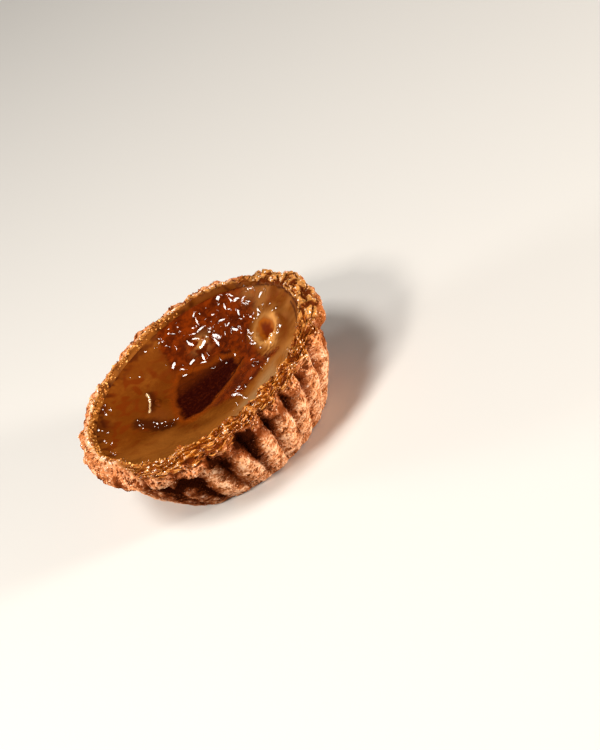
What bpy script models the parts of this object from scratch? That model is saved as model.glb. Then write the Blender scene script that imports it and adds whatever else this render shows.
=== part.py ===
"""Creme brulee tart: a fluted short-crust shell filled with baked custard, which has sunk into a
shallow dish and carries burnt sugar, a crater and a blister.

Metres, +Z up. The origin is the middle of the flat base, and -Y is the side that faces the viewer.
"""

import math
import random

import bmesh
import bpy
from mathutils import Matrix, Vector, noise

MM = 0.001
DEGREE = math.pi / 180.0

# The whole tart
TART_RADIUS = 38.0 * MM
TART_HEIGHT = 25.5 * MM
BASE_RADIUS = 25.4 * MM
SEED = 7

# The fluted wall, from the base corner up to the underside of the rim
FLUTE_COUNT = 26
STEPS_PER_FLUTE = 8
FLUTE_DEPTH = 2.2 * MM
FLUTE_UNEVENNESS = 0.28
FLUTE_SHARE_AT_FOOT = 0.35
FLUTE_FULL_HEIGHT = 12.0 * MM
FOOT_CORNER_RADIUS = 26.3 * MM
FOOT_CORNER_HEIGHT = 0.5 * MM
WALL_FOOT_RADIUS = 27.0 * MM
WALL_FOOT_HEIGHT = 1.7 * MM
WALL_HEAD_RADIUS = 35.5 * MM
WALL_HEAD_HEIGHT = 16.8 * MM
WALL_STEPS = 5
WALL_BULGE = 0.7 * MM
# The flutes aren't evenly wide: each stands a few degrees off its even place
FLUTE_TURN = -4.2 * DEGREE
FLUTE_SHIFT = 2.8 * DEGREE
FLUTE_SHIFT_WAVES = 3
FLUTE_SHIFT_PEAK = 264.0 * DEGREE

# The thick rim: an oval in section, from its underside round to the lip that meets the custard
RIM_CREST_RADIUS = 33.9 * MM
RIM_INNER_WIDTH = 1.9 * MM
RIM_HALF_HEIGHT = 3.8 * MM
RIM_FIRST_ANGLE = -70.0 * DEGREE
RIM_LIP_ANGLE = 90.0 * DEGREE
RIM_LAST_ANGLE = 150.0 * DEGREE
RIM_STEPS = 12
RIM_FLUTE_SHARE = 0.4
# Where the rim has no ledge and the flutes run up to the lip, with a deep pocket at the head of each
# crease: azimuths in degrees, each from where it begins to where it is complete
OPEN_FROM = (250.0, 266.0)
OPEN_TO = (345.0, 333.0)
OPEN_INSET = 0.8 * MM
OPEN_BULGE = 1.1 * MM
POCKET_DEPTH = 2.2 * MM
POCKET_FLATNESS = 0.6
POCKET_HEIGHT = 18.4 * MM
POCKET_SPAN = 3.4 * MM
# Elsewhere the wall is drawn in under the rim, which hangs over it by an uneven amount
UNDERCUT = 1.6 * MM
RIM_DROOP = 2.4 * MM
RIM_DROOPS_AROUND = 3.1
RIM_WAVE_HEIGHT = 0.9 * MM
RIM_WAVES_AROUND = 2.2
CRAG_HEIGHT = 1.5 * MM
CRAG_SIZE = 3.6 * MM
CRUMB_HEIGHT = 0.5 * MM
CRUMB_SIZE = 1.8 * MM
WALL_CRAG_SHARE = 0.25
# Where the dough was pinched into a lump: (azimuth in degrees, height, half-width in degrees)
RIM_LUMPS = (
    (352.0, 0.8 * MM, 7.0),
    (338.0, 0.7 * MM, 5.0),
    (66.0, 0.8 * MM, 9.0),
    (205.0, 0.6 * MM, 8.0),
)
# How far the whole tart is moved, in x and y, to centre the uneven rim's box on the origin
CENTRING = (0.175 * MM, -0.61 * MM)

# The cavity that the custard fills
CAVITY_FLOOR_HEIGHT = 4.0 * MM
CAVITY_FLOOR_RADIUS = 22.4 * MM

# The custard
CUSTARD_GAP = 0.36 * MM
CUSTARD_AROUND = 96
CUSTARD_RINGS = 17
DISH_DEPTH = 7.4 * MM
DISH_POWER = 2.2
MENISCUS_RISE = 0.25 * MM
MENISCUS_FROM = 0.9
RIPPLE_HEIGHT = 0.35 * MM
RIPPLE_SIZE = 6.0 * MM

# What the oven and the torch left on the custard: (x, y) from the middle, then the size of each
CRATER_PLACE = (21.6 * MM, 1.0 * MM)
CRATER_RING_RADIUS = 4.6 * MM
CRATER_RING_WIDTH = 1.7 * MM
CRATER_RING_HEIGHT = 0.7 * MM
CRATER_PIT_RADIUS = 3.0 * MM
CRATER_PIT_DEPTH = 1.5 * MM
BLISTER_PLACE = (-13.6 * MM, 7.5 * MM)
BLISTER_RADIUS = 3.0 * MM
BLISTER_HEIGHT = 1.0 * MM
HOLLOW_PLACE = (-15.8 * MM, -0.5 * MM)
HOLLOW_RADIUS = 4.2 * MM
HOLLOW_DEPTH = 1.1 * MM
CARAMEL_PLACE = (9.0 * MM, 11.0 * MM)
CARAMEL_RADIUS = 19.0 * MM
CARAMEL_BUBBLE_HEIGHT = 0.7 * MM
CARAMEL_BUBBLE_SIZE = 3.4 * MM
BURNT_RADIUS = 9.5 * MM

CRUST_COLOUR = (0.47, 0.22, 0.09, 1.0)
CUSTARD_COLOUR = (0.46, 0.22, 0.055, 1.0)


def clear_scene():
    """Removes every object, so that the file holds the tart alone."""
    for old in list(bpy.data.objects):
        bpy.data.objects.remove(old)


def material(name, colour, roughness):
    """A plain opaque finish."""
    made = bpy.data.materials.new(name)
    made.use_nodes = True
    shader = made.node_tree.nodes["Principled BSDF"]
    shader.inputs["Base Color"].default_value = colour
    shader.inputs["Roughness"].default_value = roughness
    shader.inputs["Metallic"].default_value = 0.0
    return made


def smooth_step(low, high, value):
    """0 below low, 1 above high, and a smooth rise between them."""
    share = min(1.0, max(0.0, (value - low) / (high - low)))
    return share * share * (3.0 - 2.0 * share)


def hump(distance, width):
    """A rounded hump of height 1 that fades out over about the width."""
    return math.exp(-((distance / width) ** 2))


def turned(name, profile, around, finish):
    """An object whose closed section, from axis to axis, is spun about Z. profile is [(radius, height)]."""
    mesh = bmesh.new()
    points = [mesh.verts.new((radius, 0.0, height)) for radius, height in profile]
    edges = [mesh.edges.new(pair) for pair in zip(points, points[1:])]
    bmesh.ops.spin(
        mesh,
        geom=points + edges,
        cent=(0.0, 0.0, 0.0),
        axis=(0.0, 0.0, 1.0),
        angle=2.0 * math.pi,
        steps=around,
        use_merge=True,
    )
    bmesh.ops.remove_doubles(mesh, verts=mesh.verts, dist=0.001 * MM)
    bmesh.ops.recalc_face_normals(mesh, faces=mesh.faces)
    data = bpy.data.meshes.new(name)
    mesh.to_mesh(data)
    mesh.free()
    made = bpy.data.objects.new(name, data)
    made.data.materials.append(finish)
    bpy.context.scene.collection.objects.link(made)
    return made


# The crust -----------------------------------------------------------------------------------------


def rim_point(angle):
    """(radius, height) on the rim's oval section, with 0 outermost and 90 degrees on the crest."""
    width = TART_RADIUS - RIM_CREST_RADIUS if math.cos(angle) > 0.0 else RIM_INNER_WIDTH
    height = TART_HEIGHT - RIM_HALF_HEIGHT + RIM_HALF_HEIGHT * math.sin(angle)
    return RIM_CREST_RADIUS + width * math.cos(angle), height


def rim_angle(radius, height):
    """The angle on the rim's oval section at which a point of the plain turned shell lies."""
    width = TART_RADIUS - RIM_CREST_RADIUS if radius > RIM_CREST_RADIUS else RIM_INNER_WIDTH
    return math.atan2((height - TART_HEIGHT) / RIM_HALF_HEIGHT + 1.0, (radius - RIM_CREST_RADIUS) / width)


def wall_point(share):
    """(radius, height) on the flared wall, 0 at its foot and 1 at its head, bulging a little."""
    bulge = WALL_BULGE * math.sin(math.pi * share)
    radius = WALL_FOOT_RADIUS + share * (WALL_HEAD_RADIUS - WALL_FOOT_RADIUS) + bulge
    return radius, WALL_FOOT_HEIGHT + share * (WALL_HEAD_HEIGHT - WALL_FOOT_HEIGHT)


def crust_profile():
    """The crust's section, from the middle of the base, up outside, over the rim and down inside."""
    profile = [
        (0.0, 0.0),
        (BASE_RADIUS, 0.0),
        (FOOT_CORNER_RADIUS, FOOT_CORNER_HEIGHT),
    ]
    profile += [wall_point(step / WALL_STEPS) for step in range(WALL_STEPS + 1)]
    span = RIM_LAST_ANGLE - RIM_FIRST_ANGLE
    profile += [rim_point(RIM_FIRST_ANGLE + span * step / RIM_STEPS) for step in range(RIM_STEPS + 1)]
    profile += [(CAVITY_FLOOR_RADIUS, CAVITY_FLOOR_HEIGHT), (0.0, CAVITY_FLOOR_HEIGHT)]
    return profile


def uneven_flutes():
    """For each flute, its share of the full depth. The draw is seeded."""
    draw = random.Random(SEED)
    return [1.0 - FLUTE_UNEVENNESS * draw.random() for _ in range(FLUTE_COUNT)]


def flute_groove(azimuth, shares):
    """How far the wall lies inside the crests of its flutes: 0 on a crest, up to 1 in a crease."""
    turn = azimuth / (2.0 * math.pi) * FLUTE_COUNT
    nearest = math.floor(turn + 0.5)
    left, right = shares[nearest % FLUTE_COUNT], shares[(nearest + 1) % FLUTE_COUNT]
    across = 2.0 * (turn - nearest)
    depth = left + (right - left) * smooth_step(-1.0, 1.0, across)
    return depth * abs(across) ** 1.9


def shifted(azimuth):
    """The azimuth at which a point stands once the flutes are unevenly wide."""
    return azimuth + FLUTE_TURN + FLUTE_SHIFT * math.cos(FLUTE_SHIFT_WAVES * (azimuth - FLUTE_SHIFT_PEAK))


def rim_lump(azimuth):
    """The height of the pinched lumps at an azimuth."""
    total = 0.0
    for centre, height, half_width in RIM_LUMPS:
        away = (math.degrees(azimuth) - centre + 180.0) % 360.0 - 180.0
        total += height * hump(away, half_width)
    return total


def crags(point):
    """The crumbly relief of the baked dough at a point: coarse crags and finer crumbs."""
    coarse = noise.noise(point / CRAG_SIZE + Vector((3.1, 7.7, 1.3)))
    fine = noise.noise(point / CRUMB_SIZE + Vector((9.2, 0.4, 5.8)))
    return CRAG_HEIGHT * coarse + CRUMB_HEIGHT * fine


def open_share(azimuth):
    """1 where the flutes run up to the lip, 0 where the rim stands out over them."""
    degrees = math.degrees(azimuth) % 360.0
    return smooth_step(*OPEN_FROM, degrees) * smooth_step(*OPEN_TO, degrees)


def crease(height, opened, groove):
    """How far a point is drawn in: little at the foot, much at the wall's head, and nothing on top."""
    middle = TART_HEIGHT - RIM_HALF_HEIGHT
    share = FLUTE_SHARE_AT_FOOT + (1.0 - FLUTE_SHARE_AT_FOOT) * smooth_step(0.0, FLUTE_FULL_HEIGHT, height)
    lost_on_rim = (1.0 - RIM_FLUTE_SHARE) * (1.0 - opened)
    share *= 1.0 - lost_on_rim * smooth_step(WALL_HEAD_HEIGHT, middle, height)
    pocket = POCKET_DEPTH * hump(height - POCKET_HEIGHT, POCKET_SPAN) * opened
    depth = FLUTE_DEPTH * share * groove + pocket * groove**POCKET_FLATNESS
    return depth * smooth_step(TART_HEIGHT, middle, height)


def shape_wall(height, azimuth, relief):
    """(outward move, upward move) of a point on the wall, from the base's edge to the rim."""
    outward = Vector((math.cos(azimuth), math.sin(azimuth), 0.0))
    opened = open_share(shifted(azimuth))
    bulge = OPEN_BULGE * opened * smooth_step(0.0, WALL_HEAD_HEIGHT, height)
    bulge -= UNDERCUT * (1.0 - opened) * smooth_step(0.4 * WALL_HEAD_HEIGHT, WALL_HEAD_HEIGHT, height)
    droop = abs(RIM_DROOP * noise.noise(outward * RIM_DROOPS_AROUND)) * (1.0 - opened)
    fall = droop * smooth_step(0.6 * WALL_HEAD_HEIGHT, WALL_HEAD_HEIGHT, height)
    return WALL_CRAG_SHARE * relief + bulge, -fall


def shape_rim(angle, azimuth, relief):
    """(outward move, upward move) of a point on the rim, which waves, hangs and carries the crags."""
    outward = Vector((math.cos(azimuth), math.sin(azimuth), 0.0))
    opened = open_share(shifted(azimuth))
    near_lip = 1.0 - smooth_step(RIM_LIP_ANGLE, RIM_LAST_ANGLE, angle)
    low = smooth_step(0.0, RIM_FIRST_ANGLE, angle)
    top = smooth_step(0.0, 90.0 * DEGREE, angle)
    relief *= near_lip * (1.0 - (1.0 - WALL_CRAG_SHARE) * low**2)
    wave = RIM_WAVE_HEIGHT * noise.noise(outward * RIM_WAVES_AROUND) * near_lip
    droop = abs(RIM_DROOP * noise.noise(outward * RIM_DROOPS_AROUND)) * (1.0 - opened)
    inset = OPEN_INSET * (1.0 - low) * max(0.0, math.cos(angle)) - OPEN_BULGE * low
    radial = relief * math.cos(angle) + 0.6 * wave - inset * opened - UNDERCUT * (1.0 - opened) * low**2
    rise = relief * math.sin(angle) + (wave + rim_lump(shifted(azimuth)) * near_lip) * top
    return radial, rise - droop * smooth_step(20.0 * DEGREE, -50.0 * DEGREE, angle)


def shape_crust(point, shares):
    """Moves a point of the plain turned shell to the fluted, craggy one."""
    radius, height, azimuth = math.hypot(point.x, point.y), point.z, math.atan2(point.y, point.x)
    if radius < BASE_RADIUS - 0.1 * MM:
        return point
    relief = crags(point)
    turned_azimuth = shifted(azimuth)
    angle = rim_angle(radius, height)
    on_rim = height > WALL_HEAD_HEIGHT + 0.1 * MM
    radial, rise = shape_rim(angle, azimuth, relief) if on_rim else shape_wall(height, azimuth, relief)
    if radius > RIM_CREST_RADIUS or not on_rim:
        radial -= crease(height, open_share(turned_azimuth), flute_groove(azimuth, shares))
    radius += radial
    height = max(0.0, height + rise)
    return Vector((radius * math.cos(turned_azimuth), radius * math.sin(turned_azimuth), height))


def build_crust():
    """The pastry shell: one solid with a fluted outside, a thick craggy rim and a plain cavity."""
    finish = material("baked_pastry", CRUST_COLOUR, 0.75)
    crust = turned("crust", crust_profile(), FLUTE_COUNT * STEPS_PER_FLUTE, finish)
    shares = uneven_flutes()
    for vertex in crust.data.vertices:
        vertex.co = shape_crust(vertex.co.copy(), shares)
    crust.data.shade_smooth()
    return crust


# The custard ---------------------------------------------------------------------------------------


def custard_edge():
    """(radius, height) of the custard's upper edge, which stands a gap inside the crust's lip."""
    radius, height = rim_point(RIM_LAST_ANGLE)
    return radius - CUSTARD_GAP, height


def custard_profile():
    """The custard's section, from the middle of its underside, up beside the crust and in to its top."""
    radius, height = custard_edge()
    profile = [
        (0.0, CAVITY_FLOOR_HEIGHT + CUSTARD_GAP),
        (CAVITY_FLOOR_RADIUS - CUSTARD_GAP, CAVITY_FLOOR_HEIGHT + CUSTARD_GAP),
    ]
    return profile + [(radius * ring / CUSTARD_RINGS, height) for ring in range(CUSTARD_RINGS, -1, -1)]


def distance_to(point, place):
    """The distance in plan from a point to one of the named places."""
    return math.hypot(point.x - place[0], point.y - place[1])


def dish(share):
    """The sunken form of the custard, from its middle at 0 to a small rise at its edge at 1."""
    sunk = DISH_DEPTH * (1.0 - share**DISH_POWER)
    return MENISCUS_RISE * smooth_step(MENISCUS_FROM, 1.0, share) - sunk


def oven_marks(point):
    """The crater with its raised ring, the blister and the burst hollow."""
    crater = distance_to(point, CRATER_PLACE)
    ring = CRATER_RING_HEIGHT * hump(crater - CRATER_RING_RADIUS, CRATER_RING_WIDTH)
    pit = CRATER_PIT_DEPTH * hump(crater, CRATER_PIT_RADIUS)
    blister = BLISTER_HEIGHT * hump(distance_to(point, BLISTER_PLACE), BLISTER_RADIUS)
    hollow = HOLLOW_DEPTH * hump(distance_to(point, HOLLOW_PLACE), HOLLOW_RADIUS)
    return ring - pit + blister - hollow


def sugar_relief(point):
    """Bubbles set into the burnt sugar outside its darkest patch, and a slow ripple in bare custard."""
    on_sugar = 1.0 - smooth_step(0.75, 1.1, distance_to(point, CARAMEL_PLACE) / CARAMEL_RADIUS)
    on_sugar *= smooth_step(0.4 * BURNT_RADIUS, BURNT_RADIUS, math.hypot(point.x, point.y))
    bubbles = abs(noise.noise(point / CARAMEL_BUBBLE_SIZE))
    ripple = noise.noise(point / RIPPLE_SIZE + Vector((0.0, 0.0, 4.0)))
    return CARAMEL_BUBBLE_HEIGHT * bubbles * on_sugar + RIPPLE_HEIGHT * ripple * (1.0 - on_sugar)


def build_custard():
    """The custard: one solid that fills the cavity up to its sunken, marked top."""
    finish = material("baked_custard", CUSTARD_COLOUR, 0.3)
    custard = turned("custard", custard_profile(), CUSTARD_AROUND, finish)
    edge_radius, edge_height = custard_edge()
    for vertex in custard.data.vertices:
        if vertex.co.z < edge_height - 0.1 * MM:
            continue
        share = math.hypot(vertex.co.x, vertex.co.y) / edge_radius
        marks = oven_marks(vertex.co) + sugar_relief(vertex.co)
        vertex.co.z += dish(share) + marks * smooth_step(1.0, 0.93, share)
    custard.data.shade_smooth()
    return custard


def build_tart():
    """The crust and the custard in it, moved so that the uneven rim's outline is centred on the origin."""
    clear_scene()
    for piece in (build_crust(), build_custard()):
        piece.data.transform(Matrix.Translation((*CENTRING, 0.0)))


build_tart()
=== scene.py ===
"""The looks of a creme brulee tart: a craggy fluted crust, baked custard under burnt, bubbled sugar.

Laid out as an add-on and run as a script. The origin is the middle of the flat base, +Z is up, and -Y is
the side that faces the viewer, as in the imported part. The meshes are worked out in millimetres. Azimuths
are in radians, from +X towards +Y. Angles on the rim's section are in degrees.
"""

import math
import random
from functools import lru_cache
from types import SimpleNamespace

import bmesh
import bpy
import numpy as np
from bpy.props import FloatProperty, FloatVectorProperty, IntProperty, PointerProperty
from mathutils import Matrix, Vector, noise


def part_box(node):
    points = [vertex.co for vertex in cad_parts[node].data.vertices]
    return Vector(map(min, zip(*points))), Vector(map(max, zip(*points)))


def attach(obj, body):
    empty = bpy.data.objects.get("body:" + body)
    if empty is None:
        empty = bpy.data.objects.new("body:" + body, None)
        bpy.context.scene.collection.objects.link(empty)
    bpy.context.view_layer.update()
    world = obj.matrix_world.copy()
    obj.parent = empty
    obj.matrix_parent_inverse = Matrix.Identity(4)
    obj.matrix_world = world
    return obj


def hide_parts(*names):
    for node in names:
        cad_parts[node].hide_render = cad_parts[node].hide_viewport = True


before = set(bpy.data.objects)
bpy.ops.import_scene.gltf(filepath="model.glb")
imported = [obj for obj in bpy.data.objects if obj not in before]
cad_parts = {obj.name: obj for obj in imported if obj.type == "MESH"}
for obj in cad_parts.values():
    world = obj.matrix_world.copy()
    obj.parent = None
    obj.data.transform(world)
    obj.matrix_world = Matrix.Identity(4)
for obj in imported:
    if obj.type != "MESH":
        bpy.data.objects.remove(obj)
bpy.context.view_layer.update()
CUSTARD_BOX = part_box("custard")

bl_info = {
    "name": "Creme Brulee Tart",
    "version": (1, 0, 0),
    "blender": (4, 5, 0),
    "location": "3D View > Sidebar > Tart",
    "description": "Dresses the solids of a creme brulee tart in baked crust, custard and burnt sugar",
    "category": "Object",
}

MM = 0.001
DEGREE = math.pi / 180.0
SEED = 7

# The crust's form, as the solid has it ------------------------------

TART_RADIUS = 38.0
TART_HEIGHT = 25.5
BASE_RADIUS = 25.4
CENTRING = (0.175, -0.61)

FLUTE_COUNT = 26
FLUTE_DEPTH = 2.2
FLUTE_UNEVENNESS = 0.28
FLUTE_SHARE_AT_FOOT = 0.35
FLUTE_FULL_HEIGHT = 12.0
FLUTE_TURN = -4.2 * DEGREE
FLUTE_SHIFT = 2.8 * DEGREE
FLUTE_SHIFT_WAVES = 3
FLUTE_SHIFT_PEAK = 264.0 * DEGREE
FLUTE_ROUNDNESS = 1.9
FOOT_CORNER_RADIUS = 26.3
FOOT_CORNER_HEIGHT = 0.5
WALL_FOOT_RADIUS = 27.0
WALL_FOOT_HEIGHT = 1.7
WALL_HEAD_RADIUS = 35.5
WALL_HEAD_HEIGHT = 16.8
WALL_BULGE = 0.7

RIM_CREST_RADIUS = 33.9
RIM_INNER_WIDTH = 1.9
RIM_HALF_HEIGHT = 3.8
RIM_MIDDLE_HEIGHT = TART_HEIGHT - RIM_HALF_HEIGHT
RIM_FIRST_ANGLE = -70.0
RIM_CREST_ANGLE = 90.0
RIM_LAST_ANGLE = 150.0
RIM_FLUTE_SHARE = 0.4
OPEN_INSET = 0.8
OPEN_BULGE = 1.1
POCKET_DEPTH = 2.2
POCKET_FLATNESS = 0.6
POCKET_HEIGHT = 18.4
POCKET_SPAN = 3.4
UNDERCUT = 1.6
RIM_DROOP = 2.4
RIM_DROOPS_AROUND = 3.1
RIM_WAVE_HEIGHT = 0.9
RIM_WAVES_AROUND = 2.2
CRAG_HEIGHT = 1.5
CRAG_SIZE = 3.6
CRUMB_HEIGHT = 0.5
CRUMB_SIZE = 1.8
WALL_CRAG_SHARE = 0.25
# The pinched lumps on the rim: (azimuth in degrees, height, half width in degrees)
RIM_LUMPS = ((352.0, 0.8, 7.0), (338.0, 0.7, 5.0), (66.0, 0.8, 9.0), (205.0, 0.6, 8.0))
CAVITY_FLOOR_HEIGHT = 4.0
CAVITY_FLOOR_RADIUS = 22.4

# Stretches of the azimuth in degrees, each as (nothing here, all here) where it begins and where it ends.
# Open: no ledge, and the flutes run up to the lip, with a deep pocket at the head of each crease
OPEN = ((250.0, 266.0), (345.0, 333.0))
# The lip is broad and frayed along the front and the right, and thin and smooth elsewhere
FRAYED = ((205.0, 235.0), (52.0, 26.0))
# The lip is heaped with lumps on the right
HEAPED = ((318.0, 342.0), (52.0, 30.0))
# Painted shade on the wall under the ledge, and in the ledge's own gap up to the end of that
SHELTERED = ((200.0, 216.0), (247.0, 238.0))
LEDGE_END = (249.0, 237.0)
# Painted light: the custard baked onto the thin lip is made paler over this stretch
PAINTED_LIGHT_RIM = (70.0, 120.0)
# The painted shade in the creases calms down, and that under the eaves over them fades out, towards the right
CALM_CREASES = (270.0, 284.0)
EAVES_END = (315.0, 295.0)

# The crust's relief that is finer than the solid's: (height, size) of swells and of ridges, and of pits
# (depth, size, radius as a share of the size, share of all that are there)
RIM_GRAIN = ((0.32, 1.9), (0.38, 1.1), (0.42, 0.95, 0.40, 0.7))
WALL_GRAIN = ((0.26, 2.2), (0.32, 0.95), (0.08, 1.3, 0.36, 0.3))
LIP_FOLDS = ((0.72, 1.9), (0.40, 0.95))
LIP_PITS = (0.36, 1.5, 0.36, 0.45)
# The lip's folds are drawn out along it by one over this
LIP_STRETCH = 0.38
# The depth that the finish paints as a fully shaded hollow
DEEP_GRAIN = 0.32
# The sharp ridge along the thin lip, and how dark the painted shade is in the ledge's gap and on the
# sheltered wall
RIDGE_HEIGHT = 0.35
LEDGE_SHADE = 1.4
SHELTERED_SHADE = 0.42
# The deep pit under the lip at the front, sunk in and painted dark as shade: its azimuth and half its span in
# degrees, height and half span
FRONT_PIT = (269.5, 4.2, 20.6, 1.9)
FRONT_PIT_DEPTH = 0.7

# The custard's form, nearly as the solid has it, and how far its floor stays inside the cavity's
FLOOR_GAP = 0.3
DISH_DEPTH = 7.4
DISH_POWER = 2.2
MENISCUS_RISE = 0.25
MENISCUS_FROM = 0.9
RIPPLE_HEIGHT = 0.35
RIPPLE_SIZE = 6.0
# What the oven left on it: (x, y), radius and height, the crater's ring being (radius, width, height)
CRATER_PLACE = (21.5, 2.0)
CRATER_RING = (4.6, 1.7, 0.7)
CRATER_PIT = (3.0, 1.1)
BLISTER = ((-13.6, 7.5), 3.0, 1.0)
HOLLOW = ((-16.2, 0.6), 4.2, 1.1)

# How fine the meshes are
STEPS_PER_FLUTE = 30
BASE_STEPS = 4
FOOT_RINGS = 2
WALL_STEPS = 50
RIM_STEPS = 66
CUSTARD_RINGS = 176
STRAND_STEPS = 9
STRAND_SIDES = 5
SMOOTHINGS = 2

# The least and greatest length, half width and lift of a strand on the lip, and how deep its ends dip in
STRAND_LENGTHS = (1.1, 3.0)
STRAND_WIDTHS = (0.10, 0.24)
STRAND_LIFTS = (0.04, 0.22)
STRAND_SINK = 0.08
STRAND_FLATNESS = 0.7
# How far apart on the lip the strands lie that run different ways
STRAND_FLOW_SIZE = 4.0
# How creased the crust may be where a strand or a crumb lies
STRAND_CREASE_LIMIT = 0.55
CRUMB_CREASE_LIMIT = 0.3
# The ring of the wall above which crumbs lie, and how small those on the wall are beside those on the rim
CRUMB_FIRST_RING = 8.0
WALL_CRUMB_SHARE = 0.7

# What the torch and the oven left on the custard. Places are shares of the tart's radius, the viewer's
# right being +X, so that they read as they lie in the dish
AMBER_SUGAR = (
    (-0.12, 0.75), (-0.06, 0.86), (0.16, 0.88), (0.38, 0.81), (0.57, 0.70), (0.70, 0.54), (0.71, 0.44),
    (0.68, 0.37), (0.60, 0.33), (0.50, 0.29), (0.44, 0.22), (0.42, 0.12), (0.42, -0.02), (0.43, -0.14),
    (0.55, -0.22), (0.55, -0.31), (0.44, -0.25), (0.28, -0.28), (0.19, -0.32), (0.11, -0.29), (0.04, -0.24),
    (-0.06, -0.18), (-0.17, -0.17), (-0.26, -0.12), (-0.29, 0.00), (-0.28, 0.16), (-0.25, 0.28),
    (-0.20, 0.38), (-0.13, 0.47), (-0.13, 0.61),
)
BURNT_SUGAR = (
    (-0.13, 0.40), (-0.20, 0.29), (-0.24, 0.18), (-0.26, 0.01), (-0.27, -0.10), (-0.18, -0.14),
    (-0.13, -0.14), (-0.05, -0.12), (0.03, -0.08), (0.10, -0.04), (0.18, 0.00), (0.25, 0.05), (0.26, 0.18),
    (0.18, 0.25), (0.08, 0.28), (-0.01, 0.34),
)
CRACK = ((0.04, -0.05), (0.11, -0.02), (0.20, 0.00), (0.25, 0.04), (0.32, 0.07))
SEAM = ((0.22, 0.31), (0.24, 0.27), (0.27, 0.24))
HOLLOW_LINE = ((-0.54, 0.15), (-0.48, 0.08), (-0.42, 0.03), (-0.36, -0.02))
WRINKLE = ((-0.44, 0.21), (-0.415, 0.28), (-0.40, 0.32), (-0.39, 0.37), (-0.39, 0.41))
# Where sugar set in leaning flakes: (x, y, spread along x, spread along y, how many, share of full size)
FLAKE_FIELDS = (
    (0.27, 0.65, 0.13, 0.08, 20, 1.0), (0.47, 0.60, 0.09, 0.09, 12, 1.0), (0.58, 0.41, 0.08, 0.07, 10, 1.0),
    (0.40, 0.46, 0.09, 0.07, 7, 0.85), (0.09, 0.38, 0.09, 0.03, 7, 0.9), (-0.08, 0.50, 0.02, 0.06, 5, 0.8),
    (0.18, -0.27, 0.03, 0.04, 9, 0.7), (0.36, -0.08, 0.02, 0.05, 5, 0.7), (0.40, -0.25, 0.08, 0.025, 6, 0.65),
    (0.12, -0.47, 0.05, 0.02, 3, 0.9), (0.16, 0.20, 0.07, 0.05, 4, 0.7), (0.46, 0.13, 0.012, 0.06, 5, 0.7),
    (0.57, -0.06, 0.03, 0.015, 5, 0.8),
)
# Where it set in small beads, in the same way
BEAD_FIELDS = (
    (0.23, 0.55, 0.05, 0.05, 12, 1.0), (0.37, 0.22, 0.05, 0.07, 9, 0.9), (0.58, 0.27, 0.05, 0.02, 7, 1.2),
    (0.455, 0.12, 0.012, 0.08, 9, 1.2), (0.57, -0.07, 0.06, 0.02, 9, 1.2), (0.70, 0.14, 0.012, 0.06, 5, 1.0),
    (-0.05, 0.78, 0.12, 0.02, 11, 1.1), (-0.68, 0.42, 0.02, 0.04, 8, 1.0), (-0.78, 0.16, 0.015, 0.06, 7, 1.0),
    (-0.79, -0.08, 0.015, 0.07, 8, 1.0), (-0.74, -0.30, 0.015, 0.06, 8, 1.0),
    (-0.62, -0.50, 0.03, 0.03, 5, 0.9), (-0.34, 0.62, 0.10, 0.03, 5, 0.9), (-0.27, 0.22, 0.015, 0.02, 3, 1.0),
    (-0.54, 0.14, 0.018, 0.025, 8, 1.0), (-0.46, 0.07, 0.022, 0.025, 6, 1.0),
    (-0.38, 0.00, 0.025, 0.040, 11, 1.1), (0.66, -0.45, 0.03, 0.04, 4, 1.0),
)
# Both, with the least and greatest half length of each, and its half width as shares of that
SUGAR_KINDS = ((FLAKE_FIELDS, (0.65, 1.7), (0.18, 0.46)), (BEAD_FIELDS, (0.28, 0.50), (0.7, 1.0)))
# The slope, along x and y, that the flakes set at, and how much it varies
FLAKE_SLOPE = (0.17, 0.73)
FLAKE_SLOPE_SPREAD = 0.06
# The azimuth that they run along, in radians, and how much it varies
FLAKE_TURN = (1.9, 0.9)
# How far a flake stands over what lies under it
FLAKE_STEP = 0.08
# Where a flake's flat top begins to fall and where it ends, as shares of its size, how much and how finely
# its edge frays, and how far out it is worked out, as a share of its half length
FLAKE_EDGE = (0.85, 1.3)
FLAKE_FRAY = 0.3
FLAKE_FRAY_SIZE = 0.7
FLAKE_REACH = 1.6
# How far apart the middles of two flakes lie, as a share of the second one's half length
FLAKE_SPACING = 1.1
# How often a flake is laid anew when it would lie on another
FLAKE_TRIES = 12

# From here on places on the custard are in millimetres.
# The middle of the pit's darker floor, and how far it and the pale ring round it are drawn out
PIT_PLACE = (21.5, 2.8)
PIT_SHAPE = (0.74, 1.2)
WRINKLE_HEIGHT = 0.35
# How many folds lie along the wrinkle, and half the length and width of each
WRINKLE_FOLDS = 9
WRINKLE_FOLD_SIZE = (0.50, 0.32)
DROP_PLACE = (-13.49, 9.88)
DROP_SIZE = (0.9, 2.2)
DROP_HEIGHT = 0.35
# Stretches round the custard, in degrees as above
LEFT_SIDE = ((80.0, 110.0), (250.0, 225.0))
FRONT_SIDE = ((225.0, 245.0), (350.0, 320.0))
# Where the front of the custard is painted paler, as light on the slope that faces away from the lamps
PAINTED_LIGHT_SIDE = ((182.0, 204.0), (350.0, 320.0))
GREY_SIDE = ((262.0, 285.0), (335.0, 305.0))
SEAM_SIDE = (265.0, 285.0)
# Blotches, as (place, radius)
EDGE_BLOTCH = ((-29.64, 10.64), 3.4)
MARBLED_BLOTCHES = (((-17.48, 22.04), 9.0), ((-25.08, 9.5), 8.0))
RIGHT_STAIN = ((28.12, 12.54), 4.0)
PALE_BY_THE_TAIL = ((19.76, -4.94), 2.4)
PALE_IN_THE_AMBER = ((5.32, 19.76), 2.6)


# Small sums on whole arrays -----------------------------------------


def fade(low, high, value):
    """0 up to low, 1 from high on, and a smooth rise between them. High may be the lesser of the two."""
    share = np.clip((value - low) / (high - low), 0.0, 1.0)
    return share * share * (3.0 - 2.0 * share)


def hump(distance, width):
    """A rounded hump of height 1 that fades out over about the width."""
    return np.exp(-((distance / width) ** 2))


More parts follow.
